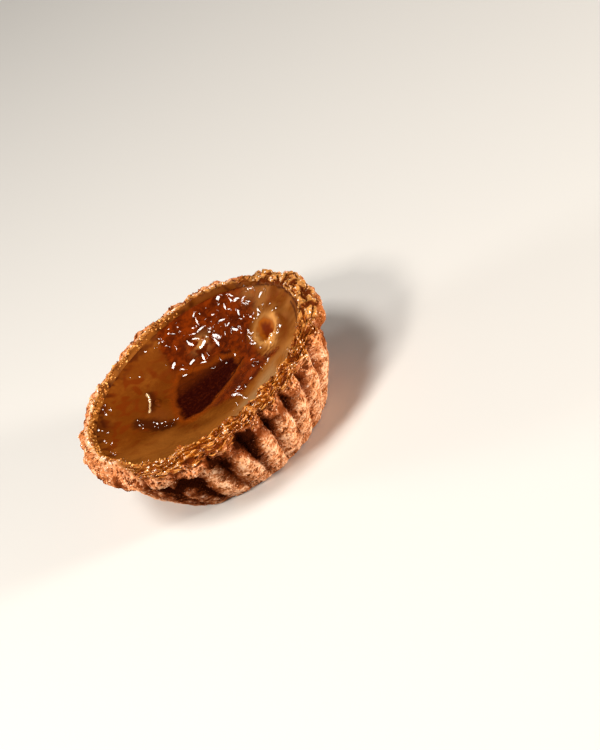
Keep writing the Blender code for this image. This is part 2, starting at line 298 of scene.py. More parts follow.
def whole_turn(azimuth):
    """The azimuth in degrees, from 0 to 360."""
    return np.degrees(azimuth) % 360.0


def stretch(azimuth, span):
    """1 over a stretch of the azimuth and 0 outside it. One that begins after it ends runs over +X."""
    begun, not_ended = (fade(*ends, whole_turn(azimuth)) for ends in span)
    return begun * not_ended if span[0][0] < span[1][0] else begun + not_ended


def perlin(points, size=1.0, shift=(0.0, 0.0, 0.0)):
    """Blender's gradient noise, about -1 to 1, at each row of points, with lumps of about the size."""
    return np.array([noise.noise(place) for place in (points / size + np.array(shift)).tolist()])


def ridges(points, size):
    """Thin sharp ridges, up to 0.6, with rounded valleys between them down to about -0.4."""
    return np.clip(1.0 - 1.9 * np.abs(perlin(points, size)), 0.0, 1.0) ** 1.5 - 0.4


def pits(points, size, radius, share):
    """Small round pits, 1 at the bottom of each, in a share of the cells of about the size."""
    found = [noise.voronoi(place) for place in (points / size).tolist()]
    nearest = np.array([distances[0] for distances, _ in found])
    draw = np.array([noise.cell(centres[0] * 9.7) for _, centres in found]) % 1.0
    reach = radius * (0.6 + 0.8 * draw / share)
    return (1.0 - fade(0.45 * reach, reach, nearest)) * (draw < share)


def lumps(points, size):
    """Rounded lumps of about the size, 0.34 on their tops, with narrow gaps down to -0.66 between them."""
    apart = [noise.voronoi(place)[0] for place in (points / size).tolist()]
    return fade(0.0, 0.26, np.array([second - first for first, second, *_ in apart])) - 0.66


def warped(places, amount, size):
    """The places pushed about by noise, so that what is drawn at them bends and frays."""
    pushes = [perlin(places, size, (axis * 5.3, 1.7, 2.9)) for axis in range(3)]
    return places + amount * np.stack(pushes, axis=1)


def from_line(x, y, line):
    """How far each point lies from a line through places given as shares of the tart's radius."""
    corners = np.array(line) * TART_RADIUS
    nearest = np.full(x.shape, np.inf)
    for (ax, ay), (bx, by) in zip(corners, corners[1:]):
        along = ((x - ax) * (bx - ax) + (y - ay) * (by - ay)) / ((bx - ax) ** 2 + (by - ay) ** 2)
        along = np.clip(along, 0.0, 1.0)
        nearest = np.minimum(nearest, np.hypot(x - ax - along * (bx - ax), y - ay - along * (by - ay)))
    return nearest


def inside_of(x, y, outline):
    """How far each point lies inside a closed outline, negative outside it."""
    corners = np.array(outline) * TART_RADIUS
    inside = np.zeros(x.shape, bool)
    for (ax, ay), (bx, by) in zip(corners, np.roll(corners, -1, axis=0)):
        if ay != by:
            inside ^= ((ay > y) != (by > y)) & (x < ax + (y - ay) / (by - ay) * (bx - ax))
    nearest = from_line(x, y, (*outline, outline[0]))
    return np.where(inside, nearest, -nearest)


def away_from(x, y, place, drawn_out=(1.0, 1.0)):
    """The distance from a place, as if what lies there were drawn out along x and y."""
    return np.hypot((x - place[0]) / drawn_out[0], (y - place[1]) / drawn_out[1])


# Meshes -------------------------------------------------------------


def new_piece(name, points, faces, finish, masks):
    """An object of the given points, in millimetres, and faces, set over the tart's own middle.

    masks is {attribute name: one value for each point}, which the finish reads.
    """
    mesh = bpy.data.meshes.new(name)
    mesh.from_pydata(((points + np.array([*CENTRING, 0.0])) * MM).tolist(), [], faces)
    for mask_name, values in masks.items():
        layer = mesh.attributes.new(mask_name, "FLOAT", "POINT")
        layer.data.foreach_set("value", np.asarray(values, np.float32))
    mesh.shade_smooth()
    mesh.materials.append(finish)
    piece = bpy.data.objects.new(name, mesh)
    bpy.context.scene.collection.objects.link(piece)
    return piece


def give_second_finish(piece, finish, mask):
    """The faces over which the mask averages more than a half take a second finish."""
    piece.data.materials.append(finish)
    corners = [face.vertices for face in piece.data.polygons]
    taken = [sum(mask[number] for number in face) > 0.5 * len(face) for face in corners]
    piece.data.polygons.foreach_set("material_index", np.array(taken, np.int32))


def ring_quads(first_row, second_row):
    """The quads between two rings of point numbers."""
    rows = [first_row, np.roll(first_row, -1), np.roll(second_row, -1), second_row]
    return np.stack(rows, axis=1).tolist()


def ring_fan(middle, row):
    """The triangles between a middle point and an anticlockwise ring of point numbers, facing down."""
    return [(int(middle), int(after), int(number)) for number, after in zip(row, np.roll(row, -1))]


# The crust ----------------------------------------------------------


def direction(angle):
    """(outward, upward) of an angle on the rim's section."""
    return math.cos(math.radians(angle)), math.sin(math.radians(angle))


def rim_point(angle):
    """(radius, height) on the rim's oval section, with 0 outermost and 90 degrees on the crest."""
    across, up = direction(angle)
    width = TART_RADIUS - RIM_CREST_RADIUS if across > 0.0 else RIM_INNER_WIDTH
    return RIM_CREST_RADIUS + width * across, RIM_MIDDLE_HEIGHT + RIM_HALF_HEIGHT * up


def wall_point(share):
    """(radius, height) on the flared wall, 0 at its foot and 1 at its head, bulging a little."""
    radius = WALL_FOOT_RADIUS + share * (WALL_HEAD_RADIUS - WALL_FOOT_RADIUS)
    height = WALL_FOOT_HEIGHT + share * (WALL_HEAD_HEIGHT - WALL_FOOT_HEIGHT)
    return radius + WALL_BULGE * math.sin(math.pi * share), height


def crust_sections():
    """The crust's section from the base's edge to the lip: (radius, height, angle on the rim or None)."""
    wall = [wall_point(step / WALL_STEPS) for step in range(WALL_STEPS + 1)]
    wall = [(BASE_RADIUS, 0.0), (FOOT_CORNER_RADIUS, FOOT_CORNER_HEIGHT), *wall]
    span = RIM_LAST_ANGLE - RIM_FIRST_ANGLE
    angles = [RIM_FIRST_ANGLE + span * step / RIM_STEPS for step in range(RIM_STEPS + 1)]
    return [(*place, None) for place in wall] + [(*rim_point(angle), angle) for angle in angles]


def across_flute(azimuth):
    """(number of the nearest crest, where the azimuth lies from it: -1 and 1 in the creases beside it)."""
    turn = azimuth / (2.0 * math.pi) * FLUTE_COUNT
    nearest = np.floor(turn + 0.5)
    return nearest.astype(int), 2.0 * (turn - nearest)


def flute_groove(azimuth):
    """How far the wall lies inside its flutes' crests: 0 on a crest, up to 1 in a crease, seeded."""
    draw = random.Random(SEED)
    shares = np.array([1.0 - FLUTE_UNEVENNESS * draw.random() for _ in range(FLUTE_COUNT)])
    nearest, across = across_flute(azimuth)
    left, right = shares[nearest % FLUTE_COUNT], shares[(nearest + 1) % FLUTE_COUNT]
    return (left + (right - left) * fade(-1.0, 1.0, across)) * np.abs(across) ** FLUTE_ROUNDNESS


def shifted(azimuth):
    """The azimuth at which a point stands once the flutes are unevenly wide."""
    return azimuth + FLUTE_TURN + FLUTE_SHIFT * np.cos(FLUTE_SHIFT_WAVES * (azimuth - FLUTE_SHIFT_PEAK))


def rim_lump(azimuth):
    """The height of the pinched lumps at an azimuth."""
    total = np.zeros(azimuth.shape)
    for centre, height, half_width in RIM_LUMPS:
        total += height * hump((np.degrees(azimuth) - centre + 180.0) % 360.0 - 180.0, half_width)
    return total


def crust_sides():
    """What depends on the azimuth alone, at each azimuth of the crust's rings."""
    count = FLUTE_COUNT * STEPS_PER_FLUTE
    azimuth = 2.0 * math.pi * (np.arange(count) / count) - math.pi
    outward = np.stack([np.cos(azimuth), np.sin(azimuth), np.zeros(count)], axis=1)
    turned = shifted(azimuth)
    closed = 1.0 - stretch(turned, OPEN)
    return SimpleNamespace(
        azimuth=azimuth,
        outward=outward,
        turned=turned,
        degrees=whole_turn(turned),
        groove=flute_groove(azimuth),
        closed=closed,
        opened=stretch(turned, OPEN),
        frayed=stretch(turned, FRAYED),
        heaped=stretch(turned, HEAPED),
        droop=np.abs(RIM_DROOP * perlin(outward * RIM_DROOPS_AROUND)) * closed,
        wave=RIM_WAVE_HEIGHT * perlin(outward * RIM_WAVES_AROUND),
        lump=rim_lump(turned),
    )


def crags(places):
    """The crumbly relief of the baked dough: coarse crags and finer crumbs."""
    coarse = perlin(places, CRAG_SIZE, (3.1, 7.7, 1.3))
    return CRAG_HEIGHT * coarse + CRUMB_HEIGHT * perlin(places, CRUMB_SIZE, (9.2, 0.4, 5.8))


def crease(height, side):
    """How far a point is drawn in: little at the foot, much at the wall's head, and nothing on top."""
    share = FLUTE_SHARE_AT_FOOT + (1.0 - FLUTE_SHARE_AT_FOOT) * fade(0.0, FLUTE_FULL_HEIGHT, height)
    lost_on_rim = (1.0 - RIM_FLUTE_SHARE) * side.closed
    share = share * (1.0 - lost_on_rim * fade(WALL_HEAD_HEIGHT, RIM_MIDDLE_HEIGHT, height))
    pocket = POCKET_DEPTH * hump(height - POCKET_HEIGHT, POCKET_SPAN) * side.opened
    depth = FLUTE_DEPTH * share * side.groove + pocket * side.groove**POCKET_FLATNESS
    return depth * fade(TART_HEIGHT, RIM_MIDDLE_HEIGHT, height)


def front_pit(height, side):
    """1 in the deep pit under the lip, 0 away from it. It is sunk in, and painted dark as shade."""
    middle, half_span, level, half_height = FRONT_PIT
    return hump(side.degrees - middle, half_span) * hump(height - level, half_height)


def grain_of(places, swell, ridge, pit):
    """The fine relief of the dough, from a row of the grain's tables."""
    height = swell[0] * perlin(places, swell[1]) + ridge[0] * ridges(places, ridge[1])
    return height - pit[0] * pits(places, *pit[1:])


def fine_relief(places, on_lip, on_wall, heaped):
    """The relief finer than the solid's, where the dough is.

    The lip frays into folds that run along it, the rim is ragged and pitted, and the wall close-grained.
    """
    bent = warped(places, 0.45, 1.4)
    radius = np.hypot(places[:, 0], places[:, 1])
    drawn_out = places * np.where(radius > 0.0, LIP_STRETCH * TART_RADIUS / radius, 0.0)[:, None]
    drawn_out[:, 2] = 1.4 * (radius - places[:, 2])
    folds = warped(drawn_out, 0.4, 1.2)
    lip = sum(height * ridges(folds, size) for height, size in LIP_FOLDS)
    lip -= LIP_PITS[0] * pits(bent, *LIP_PITS[1:])
    if np.any(heaped):
        heaps = 0.95 * lumps(warped(places, 1.2, 2.8), 2.8) + 0.45 * ridges(bent, 1.0)
        lip += heaped * (heaps - lip)
    height = grain_of(bent, *RIM_GRAIN)
    height += (grain_of(bent, *WALL_GRAIN) - height) * on_wall
    height += (lip - height) * on_lip
    return height + 0.10 * perlin(bent, 0.75)


def wall_row(places, height, side):
    """One ring of the wall: how far it moves outward and upward, its fine relief, and where it counts."""
    on_wall = 1.0 - 0.5 * side.closed * fade(0.8 * WALL_HEAD_HEIGHT, WALL_HEAD_HEIGHT, height)
    on_lip = np.zeros(len(places))
    fine = fine_relief(places, on_lip, on_wall, 0.0) * fade(0.0, FOOT_CORNER_HEIGHT, height)
    drawn_in = UNDERCUT * side.closed * fade(0.4 * WALL_HEAD_HEIGHT, WALL_HEAD_HEIGHT, height)
    bulge = OPEN_BULGE * side.opened * fade(0.0, WALL_HEAD_HEIGHT, height)
    return SimpleNamespace(
        outward=WALL_CRAG_SHARE * crags(places) + bulge - drawn_in + fine,
        upward=-side.droop * fade(0.6 * WALL_HEAD_HEIGHT, WALL_HEAD_HEIGHT, height),
        fine=fine,
        on_lip=on_lip,
        on_wall=on_wall,
        ridge=0.0,
    )


def rim_row(places, angle, side):
    """One ring of the rim: how far it moves outward and upward, its fine relief, and where it counts."""
    near_lip = 1.0 - fade(RIM_CREST_ANGLE, RIM_LAST_ANGLE, angle)
    low, top = fade(0.0, RIM_FIRST_ANGLE, angle), fade(0.0, RIM_CREST_ANGLE, angle)
    fray = (8.0 + 16.0 * side.frayed) * perlin(places, 2.6, (6.0, 1.0, 2.0))
    on_lip = fade(80.0, 98.0, angle - fray + 74.0 * side.frayed)
    shoulder = hump(angle + 10.0, 40.0) * side.opened
    on_wall = (0.5 * low + 0.5 * side.opened * (1.0 - top)) * (1.0 - 0.8 * shoulder)
    fine = fine_relief(places, on_lip, on_wall, side.heaped) * (0.45 + 0.55 * side.frayed)
    ridge = hump(angle - fray - 94.0, 11.0) * (1.0 - side.frayed)
    relief = crags(places) * near_lip * (1.0 - (1.0 - WALL_CRAG_SHARE) * low**2)
    relief += fine * (0.25 + 0.75 * near_lip) + RIDGE_HEIGHT * ridge
    wave = side.wave * near_lip
    across, up = direction(angle)
    inset = OPEN_INSET * (1.0 - low) * max(0.0, across) - OPEN_BULGE * low
    droop = side.droop * fade(20.0, -50.0, angle)
    return SimpleNamespace(
        outward=relief * across + 0.6 * wave - inset * side.opened - UNDERCUT * side.closed * low**2,
        upward=relief * up + (wave + side.lump * near_lip) * top - droop,
        fine=fine,
        on_lip=on_lip,
        on_wall=on_wall,
        ridge=ridge,
    )


def crease_shade(places, height, side):
    """The painted shade in the creases: most at the front, near the lip, and on the flank that faces the
    left, away from the side light.
    """
    _, flank = across_flute(side.azimuth)
    calm = fade(*CALM_CREASES, side.degrees)
    uneven = 1.0 + 0.5 * perlin(places, 5.0, (8.0, 2.0, 6.0))
    shaded = np.where(flank < 0.0, fade(0.45 * calm - 0.15, 0.85 + 0.1 * calm, -flank), 0.9 * flank**4)
    lobed = (1.0 - 0.58 * calm) * shaded * (0.45 + 0.80 * fade(8.0, 16.0, height))
    # Painted shade in a band under the lip's eaves
    eaves = 0.55 * hump(height - POCKET_HEIGHT - 1.2, 3.0) * fade(*EAVES_END, side.degrees)
    return side.opened * uneven * (lobed + eaves) * fade(0.5, 4.0, height)


def ledge_shade(places, height, side):
    """The painted shade in the gap under the ledge, and on the sheltered wall below it at the front left."""
    open_air = np.minimum(1.0, fade(*LEDGE_END, side.degrees) + side.heaped)
    gap = LEDGE_SHADE * side.closed * side.frayed * open_air
    gap *= hump(height - (WALL_HEAD_HEIGHT - 1.0) + side.droop, 2.0)
    around = side.degrees + 3.0 * perlin(places, 3.0, (4.0, 4.0, 9.0))
    begun, not_ended = (fade(*ends, around) for ends in SHELTERED)
    below = fade(0.95 * WALL_HEAD_HEIGHT, 0.75 * WALL_HEAD_HEIGHT, height)
    sheltered = SHELTERED_SHADE * begun * not_ended * below
    return gap + sheltered * (1.0 + 1.1 * perlin(places, 1.3, (6.0, 6.0, 1.0))) * fade(0.0, 2.0, height)


def crust_row(radius, height, angle, side):
    """One ring of the crust: (radius, height, masks) at each azimuth. The masks are what its finish reads."""
    places = side.outward * radius
    places[:, 2] = height
    row = wall_row(places, height, side) if angle is None else rim_row(places, angle, side)
    outside = angle is None or radius > RIM_CREST_RADIUS
    cut = crease(height, side)
    pit = front_pit(height, side) * outside * (1.0 + 0.7 * perlin(places, 1.6, (1.0, 5.0, 3.0)))
    # Painted shade: the creases, the deep pit under the lip, the ledge's gap and the wall under it are
    # darkened in colour where shade falls, and the crease mask carries it
    painted_shade = cut / FLUTE_DEPTH * side.closed * (1.0 + 1.2 * (height > WALL_HEAD_HEIGHT)) + 1.2 * pit
    painted_shade += crease_shade(places, height, side) * fade(TART_HEIGHT, WALL_HEAD_HEIGHT, height)
    sunk = np.where(row.fine < 0.0, 1.0 - 0.4 * row.on_wall - 0.35 * side.heaped, 1.0) * row.fine
    inner = (angle or 0.0) + 8.0 * perlin(places, 1.5) - 28.0 * side.frayed * (1.0 - 0.35 * side.heaped)
    smooth = 1.0 - side.frayed
    masks = {
        # Painted shade in the hollows of the fine relief, and painted highlight on its tips and on the thin
        # lip's ridge
        "hollow": np.clip(-sunk / DEEP_GRAIN - 1.4 * row.ridge, -1.5, 1.5),
        "crease": np.clip(painted_shade + ledge_shade(places, height, side), 0.0, 1.5),
        "toasted": fade(106.0, 122.0, inner),
        "browned": np.clip(0.10 + 0.5 * side.frayed + 1.3 * perlin(places, 1.8, (2.0, 9.0, 4.0)), 0.0, 1.0),
        # Painted light for the custard baked onto the thin lip
        "fair": 0.8 * smooth * fade(*PAINTED_LIGHT_RIM, side.degrees),
        "creamy": np.maximum(0.30 * side.heaped, 0.2 * smooth) * row.on_lip,
        "lip": row.on_lip,
        "golden": 0.65 * side.heaped * (1.0 - row.on_lip),
    }
    out = radius + row.outward - outside * cut - FRONT_PIT_DEPTH * pit
    return out, np.maximum(0.0, height + row.upward) * (height > 0.0), masks


@lru_cache(maxsize=1)
def crust_grid():
    """The crust's points from the base's edge to the lip, (rings, around, 3), and the masks over them."""
    side = crust_sides()
    rows = [crust_row(*section, side) for section in crust_sections()]
    radius, height = np.stack([row[0] for row in rows]), np.stack([row[1] for row in rows])
    points = np.stack([radius * np.cos(side.turned), radius * np.sin(side.turned), height], axis=2)
    return points, {name: np.stack([row[2][name] for row in rows]) for name in rows[0][2]}


def build_crust_mesh(finish, film):
    """The pastry shell: fluted wall, craggy rim, flat base and a plain cavity, as one closed skin.

    film is the finish of the custard that baked onto the inside of the lip.
    """
    points, masks = crust_grid()
    count = points.shape[1]
    flat, floor_middle = np.array([1.0, 1.0, 0.0]), np.array([[0.0, 0.0, CAVITY_FLOOR_HEIGHT]])
    base = [points[:1] * flat * step / BASE_STEPS for step in range(1, BASE_STEPS)]
    lip = points[-1:]
    floor = lip * flat * CAVITY_FLOOR_RADIUS / np.linalg.norm(lip[0, 0, :2]) + floor_middle
    rings = np.concatenate([*base, points, floor])
    everything = np.concatenate([0.0 * floor_middle, rings.reshape(-1, 3), floor_middle])
    before, after = 1 + (BASE_STEPS - 1) * count, 1 + count
    values = {name: np.pad(mask.ravel(), (before, after)) for name, mask in masks.items()}
    numbers = [1 + ring * count + np.arange(count) for ring in range(len(rings))]
    faces = []
    for lower, upper in zip(numbers, numbers[1:]):
        faces += ring_quads(lower, upper)
    faces += ring_fan(0, numbers[0])
    faces += [face[::-1] for face in ring_fan(len(everything) - 1, numbers[-1])]
    piece = new_piece("crust_skin", everything, faces, finish, values)
    give_second_finish(piece, film, values["toasted"])
    return piece


# What lies on the crust ---------------------------------------------


def beyond_ends(grid):
    """The grid with its first and last rings repeated."""
    return np.concatenate([grid[:1], grid, grid[-1:]])


def unit(vectors):
    """The vectors at length 1."""
    return vectors / np.maximum(np.linalg.norm(vectors, axis=-1, keepdims=True), 1e-12)


@lru_cache(maxsize=1)
def crust_surface():
    """The crust's points, the same smoothed, the outward normals over them, and how creased they are."""
    points, masks = crust_grid()
    smooth = points
    for _ in range(SMOOTHINGS):
        smooth = (np.roll(smooth, 1, axis=1) + smooth + np.roll(smooth, -1, axis=1)) / 3.0
        padded = beyond_ends(smooth)
        smooth = (padded[:-2] + padded[1:-1] + padded[2:]) / 3.0
    around, padded = np.roll(smooth, -1, axis=1) - np.roll(smooth, 1, axis=1), beyond_ends(smooth)
    return points, smooth, unit(np.cross(around, padded[2:] - padded[:-2])), masks["crease"][..., None]


def grid_at(grid, ring, step):
    """The grid's values at fractional ring and step numbers."""
    ring = np.clip(ring, 0.0, grid.shape[0] - 1.001)
    low_ring, low_step = np.floor(ring).astype(int), np.floor(step).astype(int)
    up, along = (ring - low_ring)[..., None], (step - low_step)[..., None]
    first, second = low_step % grid.shape[1], (low_step + 1) % grid.shape[1]
    rows = low_ring, low_ring + 1
    near, far = (grid[row, first] * (1 - along) + grid[row, second] * along for row in rows)
    return near * (1 - up) + far * up


def ring_of_angle(angle):
    """The number of the grid's ring at an angle on the rim's section."""
    on_rim = (angle - RIM_FIRST_ANGLE) / (RIM_LAST_ANGLE - RIM_FIRST_ANGLE) * RIM_STEPS
    return FOOT_RINGS + WALL_STEPS + 1 + on_rim


def build_strands(finish, count):
    """The frayed dough on the lip: short bent strands that lie on it and dip in at their ends."""
    points, smooth, normals, creased = crust_surface()
    draw = np.random.default_rng(SEED)
    azimuth = np.radians(draw.uniform(-150.0, 210.0, count))
    wanted = 0.04 + 0.96 * stretch(azimuth, FRAYED) * (1.0 - stretch(azimuth, HEAPED))
    kept = draw.random(count) < wanted
    azimuth = np.where(kept, azimuth, np.radians(draw.uniform(-135.0, -20.0, count)))
    frayed = stretch(azimuth, FRAYED)
    reach = 22.0 + 98.0 * frayed + 28.0 * stretch(azimuth, OPEN)
    angle = 108.0 + 22.0 * frayed - draw.uniform(0.0, 1.0, count) * reach
    length, width = (draw.uniform(*ends, count)[:, None] for ends in (STRAND_LENGTHS, STRAND_WIDTHS))
    flow = [TART_RADIUS * np.cos(azimuth), TART_RADIUS * np.sin(azimuth), 7.0 * np.radians(angle)]
    flow = np.column_stack(flow)
    heading = perlin(flow, STRAND_FLOW_SIZE) + draw.normal(0.0, 0.22, count)
    bend = 0.8 * perlin(flow, STRAND_FLOW_SIZE, (3.0, 8.0, 1.0)) + draw.normal(0.0, 0.3, count)
    share = np.linspace(0.0, 1.0, STRAND_STEPS)
    turn = heading[:, None] + bend[:, None] * (share - 0.5) * length
    around, upward = (np.cumsum(run(turn), axis=1) * length / (STRAND_STEPS - 1) for run in (np.cos, np.sin))
    per_step = TART_RADIUS * 2.0 * math.pi / points.shape[1]
    per_ring = RIM_HALF_HEIGHT * math.radians(RIM_LAST_ANGLE - RIM_FIRST_ANGLE) / RIM_STEPS
    step = ((azimuth / (2.0 * math.pi) + 0.5) * points.shape[1])[:, None] + around / per_step
    ring = ring_of_angle(angle)[:, None] + upward / per_ring
    up = unit(grid_at(normals, ring, step))
    lift = draw.uniform(*STRAND_LIFTS, count)[:, None] * np.sin(math.pi * share) - STRAND_SINK
    middle = grid_at(smooth, ring, step) + up * lift[..., None]
    side = unit(np.cross(up, unit(np.gradient(middle, axis=1))))
    radius = width * np.sqrt(np.sin(math.pi * (0.03 + 0.94 * share)))
    tube = (np.arange(STRAND_SIDES) / STRAND_SIDES * 2.0 * math.pi)[:, None]
    across = side[:, :, None, :] * np.cos(tube) + STRAND_FLATNESS * up[:, :, None, :] * np.sin(tube)
    skin = middle[:, :, None, :] + radius[:, :, None, None] * across
    half = STRAND_STEPS // 2
    skin = skin[grid_at(creased, ring[:, half], step[:, half])[:, 0] < STRAND_CREASE_LIMIT]
    corner, per_strand = np.arange(STRAND_SIDES), STRAND_STEPS * STRAND_SIDES
    faces = []
    for first in range(0, len(skin) * per_strand, per_strand):
        rows = [first + number * STRAND_SIDES + corner for number in range(STRAND_STEPS)]
        for lower, upper in zip(rows, rows[1:]):
            faces += ring_quads(lower, upper)
        faces += [rows[0][::-1].tolist(), rows[-1].tolist()]
    tone = np.repeat(draw.uniform(0.0, 1.0, len(skin)), per_strand)
    return new_piece("lip_strands", skin.reshape(-1, 3), faces, finish, {"tone": tone})


def crumb_form():
    """A small lump of twenty sides, as (corners, triangles)."""
    form = bmesh.new()
    bmesh.ops.create_icosphere(form, subdivisions=1, radius=1.0)
    corners = np.array([corner.co for corner in form.verts])
    triangles = np.array([[corner.index for corner in face.verts] for face in form.faces])
    form.free()
    return corners, triangles


def build_crumbs(name, finish, count, share_on_rim, angles, sizes, around=(-180.0, 180.0)):
    """Crumbs baked onto the crust, each sunk into it by half: a share on the rim, the rest on the wall.

    angles are the reach of those on the rim over its section, sizes the least and the greatest, and
    around the azimuths in degrees between which they lie. None lies in a crease.
    """
    points, _, normals, creased = crust_surface()
    draw = np.random.default_rng(SEED + count)
    on_rim = draw.random(count) < share_on_rim
    ring = ring_of_angle(draw.uniform(*angles, count))
    ring = np.where(on_rim, ring, draw.uniform(CRUMB_FIRST_RING, FOOT_RINGS + WALL_STEPS, count))
    step = (draw.uniform(*around, count) / 360.0 + 0.5) * points.shape[1]
    open_air = grid_at(creased, ring, step)[:, 0] < CRUMB_CREASE_LIMIT
    on_rim, ring, step = on_rim[open_air], ring[open_air], step[open_air]
    count = len(ring)
    size = draw.uniform(*sizes, count) * np.where(on_rim, 1.0, WALL_CRUMB_SHARE)
    corners, triangles = crumb_form()
    stretched = corners[None] * draw.uniform(0.6, 1.3, (count, 1, 3))
    stretched = stretched * (1.0 + draw.uniform(-0.42, 0.42, (count, len(corners), 1))) * size[:, None, None]
    turned = np.linalg.qr(draw.normal(size=(count, 3, 3)))[0]
    middle = grid_at(points, ring, step) + unit(grid_at(normals, ring, step)) * (0.1 * size)[:, None]
    lump = np.einsum("nij,nkj->nki", turned, stretched) + middle[:, None]
    mirrored = (np.linalg.det(turned) < 0.0)[:, None, None]
    order = np.where(mirrored, triangles[None, :, ::-1], triangles[None])
    faces = (order + (np.arange(count) * len(corners))[:, None, None]).reshape(-1, 3).tolist()
    tone = np.repeat(draw.uniform(0.0, 1.0, count), len(corners))
    return new_piece(name, lump.reshape(-1, 3), faces, finish, {"tone": tone})


# The custard --------------------------------------------------------


def custard_rings():
    """(share of the radius, azimuth) of points evenly over a disc: a middle point, then rings of 6, 12..."""
    shares, azimuths = [np.zeros(1)], [np.zeros(1)]
    for ring in range(1, CUSTARD_RINGS + 1):
        shares.append(np.full(6 * ring, ring / CUSTARD_RINGS))
        azimuths.append(2.0 * math.pi * np.arange(6 * ring) / (6 * ring))
    return np.concatenate(shares), np.concatenate(azimuths)


def ring_start(ring):
    """The number of the first point on a ring of the disc."""
    return 0 if ring == 0 else 1 + 3 * ring * (ring - 1)


def disc_faces():
    """The triangles between the rings of the disc, facing up."""
    faces = []
    for ring in range(1, CUSTARD_RINGS + 1):
        outer, inner = ring_start(ring), ring_start(ring - 1)
        for side in range(6):
            for step in range(ring):
                here, there = side * ring + step, side * (ring - 1) + step
                a, b = outer + here, outer + (here + 1) % (6 * ring)
                c = inner + there % max(1, 6 * (ring - 1))
                faces.append((a, b, c))
                if step < ring - 1:
                    faces.append((b, inner + (there + 1) % (6 * (ring - 1)), c))
    return faces


def oven_marks(x, y):
    """The crater with its raised ring, the blister and the burst hollow."""
    crater = away_from(x, y, CRATER_PLACE)
    ring_radius, ring_width, ring_height = CRATER_RING
    height = ring_height * hump(crater - ring_radius, ring_width)
    height -= CRATER_PIT[1] * hump(crater, CRATER_PIT[0])
    for (place, radius, size), way in ((BLISTER, 1.0), (HOLLOW, -1.0)):
        height += way * size * hump(away_from(x, y, place), radius)
    return height


def set_flake(x, y, height, gloss, place, size, turn, bend, lean):
    """Sets one leaning flake into the sugar: flat-topped and frayed, as a burst bubble leaves it."""
    length, width = size
    dx, dy = x - place[0], y - place[1]
    near = np.flatnonzero(np.maximum(np.abs(dx), np.abs(dy)) < FLAKE_REACH * length)
    if not len(near):
        return
    dx, dy = dx[near], dy[near]
    along = (dx * math.cos(turn) + dy * math.sin(turn)) / length
    across = (-dx * math.sin(turn) + dy * math.cos(turn)) / width + bend * (along**2 - 0.5)
    ends = np.column_stack([dx, dy, np.full(dx.shape, place[0])])
    flat = 1.0 - fade(*FLAKE_EDGE, np.hypot(along, across) + FLAKE_FRAY * perlin(ends, FLAKE_FRAY_SIZE))
    level = np.average(height[near], weights=flat + 1e-6) + FLAKE_STEP
    height[near] += flat * (level + lean[0] * dx + lean[1] * dy - height[near])
    gloss[near] = np.maximum(gloss[near], flat)


def set_wrinkle(x, y, height, gloss):
    """Raises the skin's wrinkle, with uneven glossy folds along it. The draw is seeded."""
    height += WRINKLE_HEIGHT * hump(from_line(x, y, WRINKLE), 0.8)
    line, draw = np.array(WRINKLE) * TART_RADIUS, random.Random(SEED)
    for corner in np.linspace(0.0, len(WRINKLE) - 1.0, WRINKLE_FOLDS):
        place = [np.interp(corner, range(len(WRINKLE)), line[:, axis]) for axis in range(2)]
        size = [draw.uniform(0.5, 1.5) * full for full in WRINKLE_FOLD_SIZE]
        set_flake(x, y, height, gloss, place, size, draw.uniform(1.0, 1.7), 0.0, FLAKE_SLOPE)


def set_sugar(x, y, height, gloss):
    """Sets all the flakes and the small beads into the custard's top. The draw is seeded."""
    draw = random.Random(SEED + 1)
    taken = []
    for fields, lengths, widths in SUGAR_KINDS:
        for field_x, field_y, spread_x, spread_y, count, scale in fields:
            for _ in range(count):
                length = scale * draw.uniform(*lengths)
                for _ in range(FLAKE_TRIES):
                    offset = draw.gauss(0.0, spread_x), draw.gauss(0.0, spread_y)
                    place = (field_x + offset[0]) * TART_RADIUS, (field_y + offset[1]) * TART_RADIUS
                    gap = min((math.dist(place, other) for other in taken), default=math.inf)
                    if gap > FLAKE_SPACING * length:
                        break
                taken.append(place)
                size, turn = (length, length * draw.uniform(*widths)), draw.gauss(*FLAKE_TURN)
                bend = draw.uniform(-1.5, 1.5)
                lean = [draw.gauss(slope, FLAKE_SLOPE_SPREAD) for slope in FLAKE_SLOPE]
                set_flake(x, y, height, gloss, place, size, turn, bend, lean)


